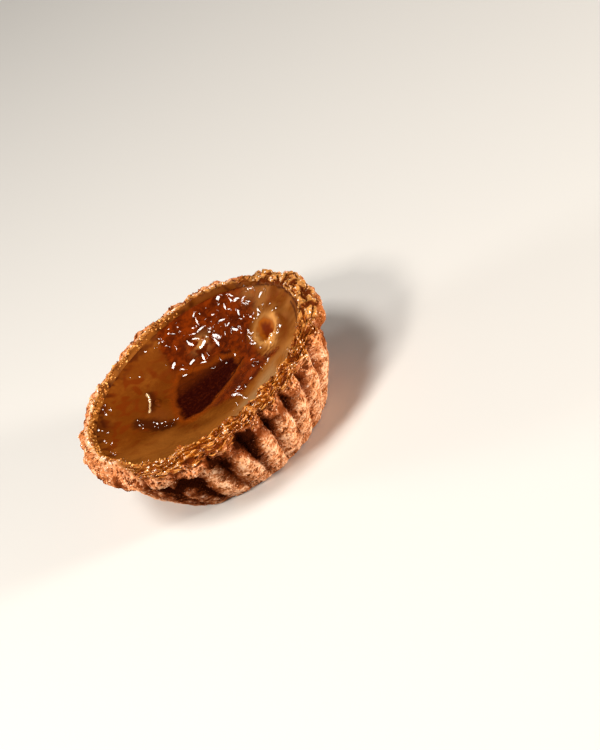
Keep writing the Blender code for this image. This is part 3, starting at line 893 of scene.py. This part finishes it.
def custard_marks(x, y, share, azimuth):
    """The masks over the custard's top: where it is sugared, burnt, toasted, pale or dark, and where shade
    and light are painted.
    """

    def blotch(mark, frayed=0.0):
        return hump(away_from(x, y, mark[0]) + frayed, mark[1])

    places = np.column_stack([x, y, np.zeros(x.shape)])
    ragged = 1.1 * perlin(places, 2.6, (4.4, 1.1, 0.3)) + 0.5 * perlin(places, 0.9)
    amber = inside_of(x, y, AMBER_SUGAR) + ragged
    burnt = inside_of(x, y, BURNT_SUGAR) + 0.7 * ragged
    cloud = perlin(places, 5.5, (2.0, 8.0, 1.0))
    wisp = perlin(warped(places, 1.5, 4.0), 2.4, (2.0, 3.0, 1.0))
    fringe = perlin(places, 1.1, (7.0, 3.0, 5.0))
    streak = perlin(np.column_stack([share * TART_RADIUS, 9.0 * azimuth, 0.0 * x]), 0.8)
    veins = np.abs(perlin(warped(places, 1.2, 3.0), 3.4, (5.0, 5.0, 2.0)))
    left, front = stretch(azimuth, LEFT_SIDE), stretch(azimuth, FRONT_SIDE)
    fair = stretch(azimuth, PAINTED_LIGHT_SIDE) * fade(0.35, 0.6, share)
    grey = stretch(azimuth, GREY_SIDE) * fade(0.50, 0.70, share)
    crater = away_from(x, y, PIT_PLACE, PIT_SHAPE)
    drop = away_from(x, y, DROP_PLACE, DROP_SIZE)

    browned = 0.7 * left * fade(0.90, 0.97, share) * fade(-0.15, 0.35, wisp + 0.4 * fringe)
    browned += 0.95 * fade(3.5, 0.8, from_line(x, y, HOLLOW_LINE) + 1.3 * wisp + 0.9 * fringe)
    browned += 0.35 * front * fade(0.5, 0.9, share) * fade(0.0, 0.5, streak)
    # The edge blotch is toasted skin; the band just right of the wrinkle is the painted shadow that it casts
    browned += 0.8 * blotch(EDGE_BLOTCH, 0.8 * fringe) + 0.8 * hump(from_line(x - 0.9, y, WRINKLE), 1.0)

    stained = 0.9 * sum(blotch(mark) for mark in MARBLED_BLOTCHES) * fade(-0.1, 0.45, wisp + 0.4 * cloud)
    # The left side is darkened a little as painted shade; the blotches and wisps are the custard's own
    stained += 0.20 * left + 0.5 * fade(0.1, 0.5, wisp - 0.5 * cloud)
    stained *= (1.0 - 0.6 * fair) * (1.0 - 0.8 * grey)
    stained += 0.6 * blotch(RIGHT_STAIN) * fade(-0.4, 0.3, wisp)

    shadow = hump(from_line(x, y, CRACK) + 0.25 * fringe, 0.35) + hump(from_line(x, y, SEAM), 0.6)
    shadow += 0.4 * fade(0.07, 0.02, veins) * fade(0.0, 2.0, amber)
    shadow += fade(0.965, 0.99, share) * fade(-0.5, 0.3, wisp) * (1.0 - 0.7 * left)
    along_edge = fade(*SEAM_SIDE, whole_turn(azimuth)) * fade(-0.6, 0.0, wisp)
    shadow += 0.9 * along_edge * hump(share - 0.948 - 0.008 * wisp, 0.009)
    shadow += 0.5 * hump(drop - 1.15, 0.20) * fade(0.8, -0.8, x - DROP_PLACE[0])

    ring = hump(crater - CRATER_RING[0] + 0.6 * fringe + 0.5 * wisp, 1.3)
    pale = 0.75 * blotch(PALE_BY_THE_TAIL) * fade(-0.4, 0.3, fringe)
    pale += 0.9 * ring * (1.0 - 0.6 * fade(0.5, 3.5, y - PIT_PLACE[1]))
    pale += 0.8 * blotch(PALE_IN_THE_AMBER) * fade(-0.2, 0.2, wisp)
    pale += 0.26 * fade(0.50, 0.62, x / TART_RADIUS) * fade(-0.4, 0.6, 0.4 * wisp + cloud)
    return {
        "amber": np.maximum(fade(-1.3, 0.9, amber), 0.7 * hump(drop, 0.9)),
        "burnt": fade(-0.9, 0.7, burnt) * (1.0 - 0.4 * fade(6.0, 13.0, y)),
        "scorched": fade(-3.4, -0.6, burnt),
        "browned": np.clip(browned, 0.0, 1.0),
        "pit": fade(4.6, 0.9, crater + 0.8 * wisp + 0.6 * fringe),
        # Painted highlight along the wrinkle's crest
        "crest": fade(0.40, 0.10, from_line(x, y, WRINKLE) + 0.25 * fringe),
        "stained": np.clip(stained, 0.0, 1.0),
        "fair": 0.9 * fair,
        "grey": 0.65 * grey * fade(-0.9, 0.1, cloud),
        "pale": np.clip(pale, 0.0, 1.0),
        "shadow": np.clip(shadow, 0.0, 1.0),
    }


def custard_height(x, y, share, edge_radius, marks):
    """The custard's top as (height over its edge, gloss): the solid's dish and marks, and finer relief."""
    radius = np.hypot(x, y)
    places = np.column_stack([x, y, np.zeros(x.shape)])
    amber = marks["amber"]
    ripple = RIPPLE_HEIGHT * perlin(places, RIPPLE_SIZE, (0.0, 0.0, 4.0)) * (1.0 - amber)
    ripple += 0.05 * perlin(np.column_stack([radius, 6.0 * np.arctan2(y, x), 0.0 * x]), 1.3)
    ripple += 0.03 * perlin(places, 0.8)
    height = MENISCUS_RISE * fade(MENISCUS_FROM, 1.0, share)
    height -= DISH_DEPTH * (1.0 - np.minimum(1.0, radius / edge_radius) ** DISH_POWER)
    height += (oven_marks(x, y) + ripple) * fade(1.0, 0.93, share)
    bent = warped(places, 0.8, 2.5)
    sugar = 0.20 + 0.26 * perlin(bent, 4.5, (1.0, 2.0, 7.0)) + 0.07 * perlin(bent, 1.7, (5.0, 2.0, 3.0))
    height += amber * sugar * (1.0 - 0.6 * marks["burnt"]) * fade(1.0, 0.96, share)
    height += DROP_HEIGHT * fade(1.15, 0.7, away_from(x, y, DROP_PLACE, DROP_SIZE))
    height -= 0.25 * marks["shadow"] * fade(0.96, 0.9, share)
    gloss = amber * fade(0.7, 0.2, marks["burnt"])
    set_wrinkle(x, y, height, gloss)
    set_sugar(x, y, height, gloss)
    return height, gloss


def build_custard_mesh(bare, sugared, overlap):
    """The custard: its sunken top with sugar, flakes and oven marks, and plain sides down to the floor.

    bare and sugared are its two finishes, and overlap is how far it reaches into the lip.
    """
    share, azimuth = custard_rings()
    edge_radius, edge_height = rim_point(RIM_LAST_ANGLE)
    radius = share * (edge_radius + overlap)
    x, y = radius * np.cos(azimuth), radius * np.sin(azimuth)
    marks = custard_marks(x, y, share, azimuth)
    height, marks["gloss"] = custard_height(x, y, share, edge_radius, marks)
    top = np.column_stack([x, y, edge_height + height])
    count = 6 * CUSTARD_RINGS
    edge, below = ring_start(CUSTARD_RINGS) + np.arange(count), len(top) + np.arange(count)
    floor_height = CUSTARD_BOX[0].z / MM
    outward = np.column_stack([np.cos(azimuth[edge]), np.sin(azimuth[edge])])
    floor = np.column_stack([outward * (CAVITY_FLOOR_RADIUS - FLOOR_GAP), np.full(count, floor_height)])
    points = np.concatenate([top, floor, [[0.0, 0.0, floor_height]]])
    faces = disc_faces() + ring_quads(below, edge) + ring_fan(len(points) - 1, below)
    masks = {name: np.pad(mask, (0, count + 1)) for name, mask in marks.items()}
    piece = new_piece("custard_and_sugar", points, faces, bare, masks)
    give_second_finish(piece, sugared, masks["gloss"])
    return piece


# Finishes -----------------------------------------------------------


class Tree:
    """Short words for building one node tree."""

    def __init__(self, tree):
        self.tree = tree

    def put(self, made, sockets):
        """Sets sockets, by name or number, to values, or links them to other nodes' outputs."""
        for name, value in sockets.items():
            target = made.inputs[name]
            if isinstance(value, bpy.types.NodeSocket):
                self.tree.links.new(value, target)
            else:
                target.default_value = (*value, 1.0) if target.type == "RGBA" else value

    def node(self, kind, sockets=None, **settings):
        """A node with its own settings, and its sockets put to what they are given."""
        made = self.tree.nodes.new(kind)
        for name, value in settings.items():
            setattr(made, name, value)
        self.put(made, sockets or {})
        return made

    def place(self):
        """The point on the piece, in metres."""
        return self.node("ShaderNodeTexCoord").outputs["Object"]

    def grain(self, size, detail, roughness):
        """Noise with lumps of about the size in millimetres, 0 to 1."""
        sockets = dict(Scale=1.0 / (size * MM), Detail=detail, Roughness=roughness, Vector=self.place())
        return self.node("ShaderNodeTexNoise", sockets).outputs["Fac"]

    def ramp(self, value, low, high, from_value=0.0, to_value=1.0):
        """A value between low and high carried over to another range, and held at its ends."""
        sockets = dict(enumerate((value, low, high, from_value, to_value)))
        return self.node("ShaderNodeMapRange", sockets, interpolation_type="SMOOTHSTEP").outputs["Result"]

    def sum(self, operation, first, second):
        """One step of arithmetic."""
        return self.node("ShaderNodeMath", {0: first, 1: second}, operation=operation).outputs[0]

    def times(self, first, second):
        """The one times the other."""
        return self.sum("MULTIPLY", first, second)

    def blend(self, share, first, second):
        """The first colour, and the second where share is 1."""
        return self.node("ShaderNodeMix", {0: share, 6: first, 7: second}, data_type="RGBA").outputs[2]

    def layers(self, colour, *over):
        """The colour with others laid over it in turn, each as (share, colour)."""
        for share, top in over:
            colour = self.blend(share, colour, top)
        return colour

    def bump(self, strength, distance, height):
        """A bump's normal, from a height and its distance in millimetres."""
        sockets = {"Strength": strength, "Distance": distance * MM, "Height": height}
        return self.node("ShaderNodeBump", sockets).outputs["Normal"]

    def mask(self, name):
        """One of the mesh's own masks."""
        return self.node("ShaderNodeAttribute", attribute_name=name).outputs["Fac"]


def new_group(name, **sockets):
    """A shader node group whose sockets are given as name=(in or out, kind), and its tree's words."""
    group = bpy.data.node_groups.new(name, "ShaderNodeTree")
    for socket, (way, kind) in sockets.items():
        group.interface.new_socket(socket.replace("_", " "), in_out=way, socket_type=f"NodeSocket{kind}")
    return group, Tree(group)


def crumb_grain_group():
    """The grain of baked dough, at the crumb's own scale: a height, and a painted shade from -1 to 1 that is
    light on its tops and dark in its pores.
    """
    group, tree = new_group(
        "crumb_grain",
        Vector=("INPUT", "Vector"),
        Crumb_Size=("INPUT", "Float"),
        Shade=("OUTPUT", "Float"),
        Height=("OUTPUT", "Float"),
    )
    entry = tree.node("NodeGroupInput").outputs
    scale = tree.sum("DIVIDE", 1.0, entry["Crumb Size"])
    push = {"Vector": entry["Vector"], "Scale": tree.times(scale, 0.7), "Detail": 1.0}
    push = tree.node("ShaderNodeTexNoise", push).outputs["Color"]
    bent = {0: push, 1: (0.6 * MM, 0.6 * MM, 0.6 * MM), 2: entry["Vector"]}
    bent = tree.node("ShaderNodeVectorMath", bent, operation="MULTIPLY_ADD").outputs[0]
    dome = {"Vector": bent, "Scale": scale, "Detail": 1.0, "Smoothness": 0.35}
    dome = tree.node("ShaderNodeTexVoronoi", dome, feature="SMOOTH_F1").outputs["Distance"]
    fine = {"Vector": bent, "Scale": tree.times(scale, 1.6), "Detail": 3.0, "Roughness": 0.7}
    fine = tree.node("ShaderNodeTexNoise", fine).outputs["Fac"]
    height = tree.sum("ADD", tree.times(tree.ramp(dome, 0.05, 0.75, 1.0, 0.0), 0.6), tree.times(fine, 0.6))
    pores = tree.node("ShaderNodeTexVoronoi", {"Vector": bent, "Scale": tree.times(scale, 0.95)}).outputs
    chance = tree.node("ShaderNodeSeparateColor", {"Color": pores["Color"]}).outputs[0]
    pore = tree.times(tree.ramp(pores["Distance"], 0.12, 0.34, 1.0, 0.0), tree.ramp(chance, 0.45, 0.55))
    shade = tree.sum("SUBTRACT", tree.ramp(height, 0.3, 0.9, -1.0, 1.0), tree.times(pore, 0.55))
    height = tree.sum("SUBTRACT", height, tree.times(pore, 0.9))
    tree.node("NodeGroupOutput", {"Height": height, "Shade": shade})
    return group


def new_finish(name):
    """A material with an empty Principled shader, the words for its tree, and the shader."""
    made = bpy.data.materials.new(name)
    made.use_nodes = True
    return made, Tree(made.node_tree), made.node_tree.nodes["Principled BSDF"]


def dough_colour(tree, colours, shade, gilt):
    """Baked dough: pinkish brown with browner patches, gilded on the lip, with painted highlight on its tips
    and painted shade in its hollows.
    """
    up = tree.node("ShaderNodeSeparateXYZ", {"Vector": tree.place()}).outputs
    on_rim = tree.ramp(up["Z"], 0.70 * TART_HEIGHT * MM, 0.84 * TART_HEIGHT * MM, 0.0, 0.5)
    rightward = tree.ramp(up["X"], -0.9 * TART_RADIUS * MM, -0.4 * TART_RADIUS * MM, 0.45, 1.0)
    speck = tree.ramp(tree.grain(0.9, 3.0, 0.65), 0.35, 0.65)
    return tree.layers(
        tree.blend(tree.ramp(tree.grain(4.5, 3.0, 0.6), 0.38, 0.62), colours.crust, colours.crust_light),
        (tree.ramp(tree.grain(2.4, 4.0, 0.6), 0.50, 0.70, 0.0, 0.3), colours.crust_brown),
        (tree.times(on_rim, rightward), colours.rim),
        (gilt, tree.blend(speck, colours.lip_brown, colours.lip_gold)),
        (tree.mask("creamy"), colours.lip_cream),
        # Painted highlight on the tips, brightest on the highest ones
        (tree.ramp(shade, -0.15, -0.75, 0.0, 0.9), tree.blend(gilt, colours.crust_tip_highlight, colours.lip_pale)),
        (tree.ramp(shade, -0.85, -1.25, 0.0, 0.8), colours.highlight_fleck),
        # Painted shade in the hollows, darkest in the deepest
        (tree.ramp(shade, 0.12, 0.6, 0.0, 0.8), tree.blend(gilt, colours.crust_brown, colours.lip_brown)),
        (tree.ramp(shade, 0.55, 1.05, 0.0, 0.95), colours.crust_pit_shade),
    )


def crust_finish(colours, grain_group):
    """Baked short crust, with a buttery sheen on whatever stands up."""
    made, tree, shader = new_finish("baked_short_crust")
    sockets = {"Vector": tree.place(), "Crumb Size": 0.8 * MM}
    grain = tree.node("ShaderNodeGroup", sockets, node_tree=grain_group).outputs
    # shade holds the painted shade and highlight of the grain and of the hollows
    shade = tree.sum("ADD", tree.times(grain["Shade"], -0.6), tree.mask("hollow"))
    toasted = tree.times(tree.mask("toasted"), 0.45)
    # dark carries the crease mask's painted shade, deeper in the hollows
    dark = tree.times(tree.mask("crease"), tree.ramp(shade, -0.9, 0.9, 0.68, 1.35))
    colour = tree.layers(
        dough_colour(tree, colours, shade, tree.mask("lip")),
        (tree.mask("golden"), colours.crust_gold),
        (toasted, colours.lip_brown),
        (tree.ramp(dark, 0.08, 0.50, 0.0, 0.85), colours.crust_shade),
        (tree.ramp(dark, 0.42, 0.80, 0.0, 0.90), colours.crust_pit_shade),
        (tree.ramp(dark, 0.75, 1.10, 0.0, 0.96), colours.crust_crease_shade),
    )
    sunk = tree.sum("ADD", shade, tree.times(dark, 1.6))
    tree.put(shader, {
        "Base Color": colour,
        "Coat Weight": tree.ramp(sunk, -0.10, -0.65),
        "Coat Roughness": 0.17,
        "Roughness": tree.ramp(tree.sum("ADD", shade, toasted), -0.7, 0.4, 0.22, 0.60),
        "Normal": tree.bump(1.0, 0.55, grain["Height"]),
        "Specular IOR Level": 0.0,
    })
    return made


def scrap_finish(name, dark, colour, pale, roughness):
    """Loose-ended dough, such as strands and crumbs, each of its own tone."""
    made, tree, shader = new_finish(name)
    tone = tree.mask("tone")
    shade = tree.blend(tree.ramp(tone, 0.0, 0.65), dark, colour)
    shade = tree.blend(tree.ramp(tone, 0.65, 1.0), shade, pale)
    tree.put(shader, {"Base Color": shade, "Roughness": roughness, "Specular IOR Level": 0.15})
    return made


def custard_tones_group(colours):
    """The colours of the whole top, which its two finishes share: custard, sugar, what burnt, and painted
    light and shade.
    """
    if "custard_tones" in bpy.data.node_groups:
        return bpy.data.node_groups["custard_tones"]
    group, tree = new_group("custard_tones", Color=("OUTPUT", "Color"), Grain=("OUTPUT", "Float"))
    fine = tree.grain(1.1, 4.0, 0.65)
    mottle = tree.ramp(tree.grain(3.6, 3.0, 0.55), 0.45, 0.70, 0.0, 0.55)
    melt = tree.ramp(tree.grain(3.0, 4.0, 0.65), 0.36, 0.66)
    char = tree.ramp(tree.grain(1.1, 3.0, 0.75), 0.46, 0.68, 0.0, 0.6)
    pit = tree.mask("pit")
    colour = tree.layers(
        tree.blend(tree.ramp(tree.grain(9.0, 3.0, 0.5), 0.4, 0.8), colours.custard, colours.custard_light),
        (mottle, colours.custard_toast),
        (tree.ramp(fine, 0.35, 0.65, 0.0, 0.45), colours.custard_toast),
        # Painted light on the custard's front and on the lip's film
        (tree.mask("fair"), colours.custard_painted_light),
        (tree.mask("grey"), colours.custard_grey),
        (tree.mask("stained"), colours.custard_stain),
        (tree.mask("browned"), colours.custard_brown),
        (tree.mask("amber"), tree.blend(melt, colours.sugar_dark, colours.sugar_amber)),
        (tree.times(tree.mask("scorched"), 0.8), colours.sugar_orange),
        (tree.mask("burnt"), tree.blend(char, colours.sugar_burnt, colours.sugar_dark)),
        (tree.times(tree.mask("pale"), 0.8), colours.custard_pale),
        (tree.ramp(pit, 0.0, 0.55, 0.0, 0.9), colours.pit_edge),
        (tree.ramp(pit, 0.45, 1.0, 0.0, 0.9), colours.pit),
        # Painted highlight on the wrinkle's crest
        (tree.mask("crest"), colours.crest),
        (tree.times(tree.mask("shadow"), 0.85), colours.sugar_burnt),
    )
    tree.node("NodeGroupOutput", {"Color": colour, "Grain": fine})
    return group


def custard_finish(name, tones, roughness, specular, coat, bump_strength):
    """The custard's top: satin where it is bare, glassy where sugar melted over it. Each is built once."""
    if name in bpy.data.materials:
        return bpy.data.materials[name]
    made, tree, shader = new_finish(name)
    shared = tree.node("ShaderNodeGroup", node_tree=tones).outputs
    tree.put(shader, {
        "Base Color": shared["Color"],
        "Roughness": tree.ramp(shared["Grain"], 0.2, 0.8, 0.9 * roughness, 1.1 * roughness),
        "Specular IOR Level": specular,
        "Coat Weight": coat,
        "Normal": tree.bump(bump_strength, 0.1, shared["Grain"]),
    })
    return made


def bare_finish(colours):
    """The satin finish of bare custard, on the top and where it baked onto the lip."""
    return custard_finish("baked_custard", custard_tones_group(colours), 0.60, 0.03, 0.0, 0.3)


# What a user may change ---------------------------------------------


def count_of(name, description, default):
    """A number of things that the panel shows."""
    return IntProperty(name=name, description=description, default=default, min=1)


def colour(name, description, default):
    """A colour that the panel shows, in linear values."""
    words = {"name": name, "description": description, "default": default}
    return FloatVectorProperty(subtype="COLOR", size=3, min=0.0, max=1.0, **words)


def number(name, description, default, **kind):
    """A number that the panel shows, of a unit or a subtype."""
    return FloatProperty(name=name, description=description, default=default, **kind)


def strength(name, description, default):
    """A light's power or strength that the panel shows."""
    return number(name, description, default, min=0.0)


class TartShape(bpy.types.PropertyGroup):
    """Sizes that the solids leave to the looks."""

    strand_count: count_of("Strands", "How many strands of dough lie on the lip", 620)
    lip_crumb_count: count_of("Lip Crumbs", "How many crumbs are baked onto the lip", 260)
    edge_crumb_count: count_of("Edge Crumbs", "How many crumbs lie inside the lip, on the left", 300)
    crumb_count: count_of("Crumbs", "How many crumbs are baked onto the crust", 1000)
    custard_overlap: number(
        "Custard Overlap", "How far the custard reaches into the crust's lip", 0.5 * MM, unit="LENGTH"
    )


class TartColours(bpy.types.PropertyGroup):
    """Colours of the crust, the custard and the sugar."""

    crust: colour("Crust", "The baked dough", (0.79, 0.365, 0.172))
    crust_light: colour("Crust, Light", "Dough that baked less", (0.93, 0.54, 0.315))
    rim: colour("Rim", "The rim's outer side", (0.86, 0.27, 0.080))
    # Painted highlight on the dough's tips
    crust_tip_highlight: colour("Crust, Pale", "The tips of the dough", (1.0, 0.74, 0.56))
    # Painted highlight, paler still, on the highest tips
    highlight_fleck: colour("Flecks", "Highlight flecks on the dough's highest tips", (1.0, 0.90, 0.76))
    crust_gold: colour("Crust, Golden", "Dough that baked golden, on the right", (0.34, 0.095, 0.019))
    # Browner patches of its own, and the first painted shade in the hollows
    crust_brown: colour("Crust, Brown", "Browner patches", (0.42, 0.110, 0.022))
    # Painted shade, from the flutes' flanks down to the darkest creases and pits
    crust_shade: colour("Crust, Shade", "The flanks of the flutes", (0.21, 0.046, 0.010))
    crust_pit_shade: colour("Crust, Deep", "Pits", (0.10, 0.017, 0.003))
    crust_crease_shade: colour("Crust, Dark", "Creases", (0.022, 0.0035, 0.0008))
    lip_gold: colour("Lip", "The buttery lip", (0.27, 0.062, 0.004))
    # The lip's browner parts of its own, and the painted shade in its hollows
    lip_brown: colour("Lip, Brown", "The lip's browner parts", (0.115, 0.022, 0.001))
    lip_cream: colour("Lip, Cream", "The heaped lumps on the right", (0.84, 0.44, 0.13))
    # Painted highlight on the lip's tips, and the palest tone of strands and crumbs
    lip_pale: colour("Lip, Pale", "The tips of the lip", (0.60, 0.24, 0.050))
    custard: colour("Custard", "The baked custard", (0.122, 0.0285, 0.0013))
    custard_light: colour("Custard, Light", "Paler custard", (0.200, 0.058, 0.0055))
    # Painted light: the front of the custard made paler
    custard_painted_light: colour("Custard, Fair", "The lightened custard at the front", (0.235, 0.072, 0.0085))
    custard_grey: colour("Custard, Greyish", "The strip along the right", (0.29, 0.165, 0.068))
    custard_pale: colour("Custard, Pale", "The palest custard", (0.60, 0.27, 0.070))
    custard_toast: colour("Custard, Toasted", "Mottles in the custard's skin", (0.10, 0.021, 0.001))
    # Browned skin, and the painted shadow beside the wrinkle
    custard_brown: colour("Custard, Browned", "Browned skin", (0.042, 0.0065, 0.0005))
    # Orange-brown blotches, and the painted shade on the custard's left
    custard_stain: colour("Custard, Stained", "Orange-brown blotches", (0.115, 0.018, 0.0006))
    sugar_amber: colour("Sugar, Amber", "Caramelised sugar", (0.165, 0.021, 0.0006))
    sugar_orange: colour("Sugar, Orange", "Clear sugar over custard", (0.175, 0.030, 0.0006))
    sugar_dark: colour("Sugar, Dark", "Browner sugar", (0.062, 0.007, 0.0003))
    sugar_burnt: colour("Sugar, Burnt", "The darkest sugar", (0.018, 0.0009, 0.0001))
    # Painted highlight along the wrinkle's crest
    crest: colour("Wrinkle", "The crest of the skin's wrinkle", (0.58, 0.38, 0.19))
    pit: colour("Pit", "The crater's floor", (0.090, 0.0075, 0.0001))
    pit_edge: colour("Pit, Edge", "The slope down to the crater's floor", (0.27, 0.062, 0.0020))
    floor: colour("Floor", "The plain floor", (0.60, 0.585, 0.565))


class TartStage(bpy.types.PropertyGroup):
    """The camera and the lights."""

    camera_distance: number("Camera Distance", "From the rim's middle", 0.55, unit="LENGTH")
    camera_elevation: number("Camera Elevation", "Above the rim's plane", 30.3 * DEGREE, subtype="ANGLE")
    camera_roll: number("Camera Roll", "Turn about the line of sight", -38.6 * DEGREE, subtype="ANGLE")
    key_power: strength("Key Power", "The soft light overhead", 5.7)
    side_power: strength("Side Power", "The low light, on the right", 9.0)
    back_power: strength("Back Power", "The light behind, on the left", 4.2)
    fill_power: strength("Fill Power", "The light on the left", 5.0)
    room_light: strength("Room Light", "Light from all round", 0.03)


# The stage ----------------------------------------------------------

# Where the middle of the rim lies in the picture, and the picture's size, in pixels
PICTURE_SIZE = (600.0, 750.0)
RIM_MIDDLE_PIXEL = (192.7, 368.2)
PIXELS_PER_RADIUS = 144.1
SENSOR_LENGTH = 36.0

SOFT_WHITE = (1.0, 0.97, 0.92)
WARM_WHITE = (1.0, 0.93, 0.84)
ROOM_COLOUR = (1.0, 0.96, 0.90, 1.0)
# The lights: (name, direction from the tart, side in metres, colour), all at one distance
LIGHTS = (
    ("key", (-0.25, -0.20, 0.95), 0.25, SOFT_WHITE),
    ("side", (0.80, -0.56, 0.16), 0.12, WARM_WHITE),
    ("back", (-0.78, 0.55, 0.20), 0.18, SOFT_WHITE),
    ("fill", (-0.62, -0.40, 0.72), 0.16, WARM_WHITE),
)
LIGHT_DISTANCE = 0.8
FLOOR_HALF = 4.0 / MM
FLOOR_ROUGHNESS = 0.6


def add_to_scene(name, data):
    """An object of a camera or a light, in the scene."""
    made = bpy.data.objects.new(name, data)
    bpy.context.scene.collection.objects.link(made)
    return made


def build_camera(settings):
    """A camera that sees the rim's middle at its pixel, at the size it has in the picture."""
    rise, roll, distance = settings.camera_elevation, settings.camera_roll, settings.camera_distance
    back, right = Vector((0.0, -math.cos(rise), math.sin(rise))), Vector((1.0, 0.0, 0.0))
    across = math.cos(roll) * right + math.sin(roll) * back.cross(right)
    upward = back.cross(across)
    focal_pixels = PIXELS_PER_RADIUS * distance / (TART_RADIUS * MM)
    data = bpy.data.cameras.new("camera")
    data.sensor_fit = "AUTO"
    data.sensor_width = SENSOR_LENGTH
    data.lens = focal_pixels / max(PICTURE_SIZE) * SENSOR_LENGTH
    data.clip_start, data.clip_end = 0.01, 20.0
    off_x = RIM_MIDDLE_PIXEL[0] - PICTURE_SIZE[0] / 2.0
    off_y = PICTURE_SIZE[1] / 2.0 - RIM_MIDDLE_PIXEL[1]
    sideways = (off_x * across + off_y * upward) * distance / focal_pixels
    place = Vector((*CENTRING, TART_HEIGHT)) * MM + back * distance - sideways
    camera = add_to_scene("camera", data)
    camera.matrix_world = Matrix.Translation(place) @ Matrix((across, upward, back)).transposed().to_4x4()
    bpy.context.scene.camera = camera


def build_light(name, direction, side, power, tint):
    """A square soft light that shines on the tart from a direction."""
    data = bpy.data.lights.new(name, "AREA")
    data.shape, data.size, data.energy, data.color = "SQUARE", side, power, tint
    light = add_to_scene(name, data)
    toward = Vector(direction).normalized()
    light.location = toward * LIGHT_DISTANCE + Vector((0.0, 0.0, 0.5 * TART_HEIGHT * MM))
    light.rotation_mode = "QUATERNION"
    light.rotation_quaternion = toward.to_track_quat("Z", "Y")


def build_floor(tint):
    """A wide plain floor under the tart."""
    finish, tree, shader = new_finish("plain_floor")
    tree.put(shader, {"Base Color": tint, "Roughness": FLOOR_ROUGHNESS})
    corners = np.array([[-1.0, -1.0, 0.0], [1.0, -1.0, 0.0], [1.0, 1.0, 0.0], [-1.0, 1.0, 0.0]])
    floor = new_piece("floor", FLOOR_HALF * corners, [(0, 1, 2, 3)], finish, {})


def build_room(room_light):
    """Even light from all round."""
    world = bpy.data.worlds.new("room")
    world.use_nodes = True
    background = world.node_tree.nodes["Background"]
    background.inputs["Color"].default_value = ROOM_COLOUR
    background.inputs["Strength"].default_value = room_light
    bpy.context.scene.world = world


# Operators ----------------------------------------------------------


def fit_to_tart(piece, node):
    """The piece rides on the tart's one body, and the solid that it stands for is hidden."""
    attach(piece, "root")
    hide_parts(node)


class TART_OT_crust(bpy.types.Operator):
    """Build the craggy fluted crust over its solid"""

    bl_idname = "tart.crust"
    bl_label = "Build Crust"

    def execute(self, context):
        colours = context.scene.tart_colours
        dough = crust_finish(colours, crumb_grain_group())
        fit_to_tart(build_crust_mesh(dough, bare_finish(colours)), "crust")
        return {"FINISHED"}


class TART_OT_scraps(bpy.types.Operator):
    """Build the strands on the lip and the crumbs that are baked onto the crust"""

    bl_idname = "tart.scraps"
    bl_label = "Build Strands and Crumbs"

    def execute(self, context):
        shape, tints = context.scene.tart_shape, context.scene.tart_colours
        gilt = scrap_finish("buttery_strands", tints.lip_brown, tints.lip_gold, tints.lip_pale, 0.30)
        creamy = scrap_finish("creamy_crumbs", tints.lip_gold, tints.lip_pale, tints.lip_cream, 0.30)
        baked = scrap_finish("baked_crumbs", tints.crust_brown, tints.crust, tints.crust_light, 0.45)
        fit_to_tart(build_strands(gilt, shape.strand_count), "crust")
        for words in (
            ("lip_crumbs", gilt, shape.lip_crumb_count, 1.0, (68.0, 106.0), (0.18, 0.50)),
            ("edge_crumbs", creamy, shape.edge_crumb_count, 1.0, (96.0, 140.0), (0.14, 0.38), (85.0, 255.0)),
            ("crust_crumbs", baked, shape.crumb_count, 0.65, (-45.0, 50.0), (0.12, 0.32)),
        ):
            fit_to_tart(build_crumbs(*words), "crust")
        return {"FINISHED"}


class TART_OT_custard(bpy.types.Operator):
    """Build the custard with its burnt sugar over its solid"""

    bl_idname = "tart.custard"
    bl_label = "Build Custard"

    def execute(self, context):
        colours, overlap = context.scene.tart_colours, context.scene.tart_shape.custard_overlap / MM
        sugared = custard_finish("burnt_sugar", custard_tones_group(colours), 0.11, 0.0, 1.0, 0.05)
        fit_to_tart(build_custard_mesh(bare_finish(colours), sugared, overlap), "custard")
        return {"FINISHED"}


class TART_OT_stage(bpy.types.Operator):
    """Build the floor, the lights and the camera"""

    bl_idname = "tart.stage"
    bl_label = "Build Stage"

    def execute(self, context):
        scene, settings = context.scene, context.scene.tart_stage
        build_floor(scene.tart_colours.floor)
        build_room(settings.room_light)
        for name, direction, side, tint in LIGHTS:
            build_light(f"{name}_light", direction, side, getattr(settings, f"{name}_power"), tint)
        build_camera(settings)
        scene.view_settings.view_transform = "Standard"
        return {"FINISHED"}


class TART_PT_build(bpy.types.Panel):
    """Lists what can be built, and the sizes and colours of each"""

    bl_idname = "TART_PT_build"
    bl_label = "Creme Brulee Tart"
    bl_space_type = "VIEW_3D"
    bl_region_type = "UI"
    bl_category = "Tart"

    def draw(self, context):
        for operator in OPERATORS:
            self.layout.operator(operator.bl_idname)
        for name in GROUPS:
            group, box = getattr(context.scene, name), self.layout.box()
            for setting in group.__annotations__:
                box.prop(group, setting)


OPERATORS = (TART_OT_crust, TART_OT_scraps, TART_OT_custard, TART_OT_stage)
GROUPS = {"tart_shape": TartShape, "tart_colours": TartColours, "tart_stage": TartStage}


def register():
    """Adds the properties, the operators and the panel."""
    for name, group in GROUPS.items():
        bpy.utils.register_class(group)
        setattr(bpy.types.Scene, name, PointerProperty(type=group))
    for cls in (*OPERATORS, TART_PT_build):
        bpy.utils.register_class(cls)


def unregister():
    """Takes them away again."""
    for cls in (TART_PT_build, *reversed(OPERATORS)):
        bpy.utils.unregister_class(cls)
    for name, group in reversed(GROUPS.items()):
        delattr(bpy.types.Scene, name)
        bpy.utils.unregister_class(group)


def main():
    """Builds the tart and its stage."""
    register()
    bpy.ops.tart.crust()
    bpy.ops.tart.scraps()
    bpy.ops.tart.custard()
    bpy.ops.tart.stage()


if __name__ == "__main__":
    main()
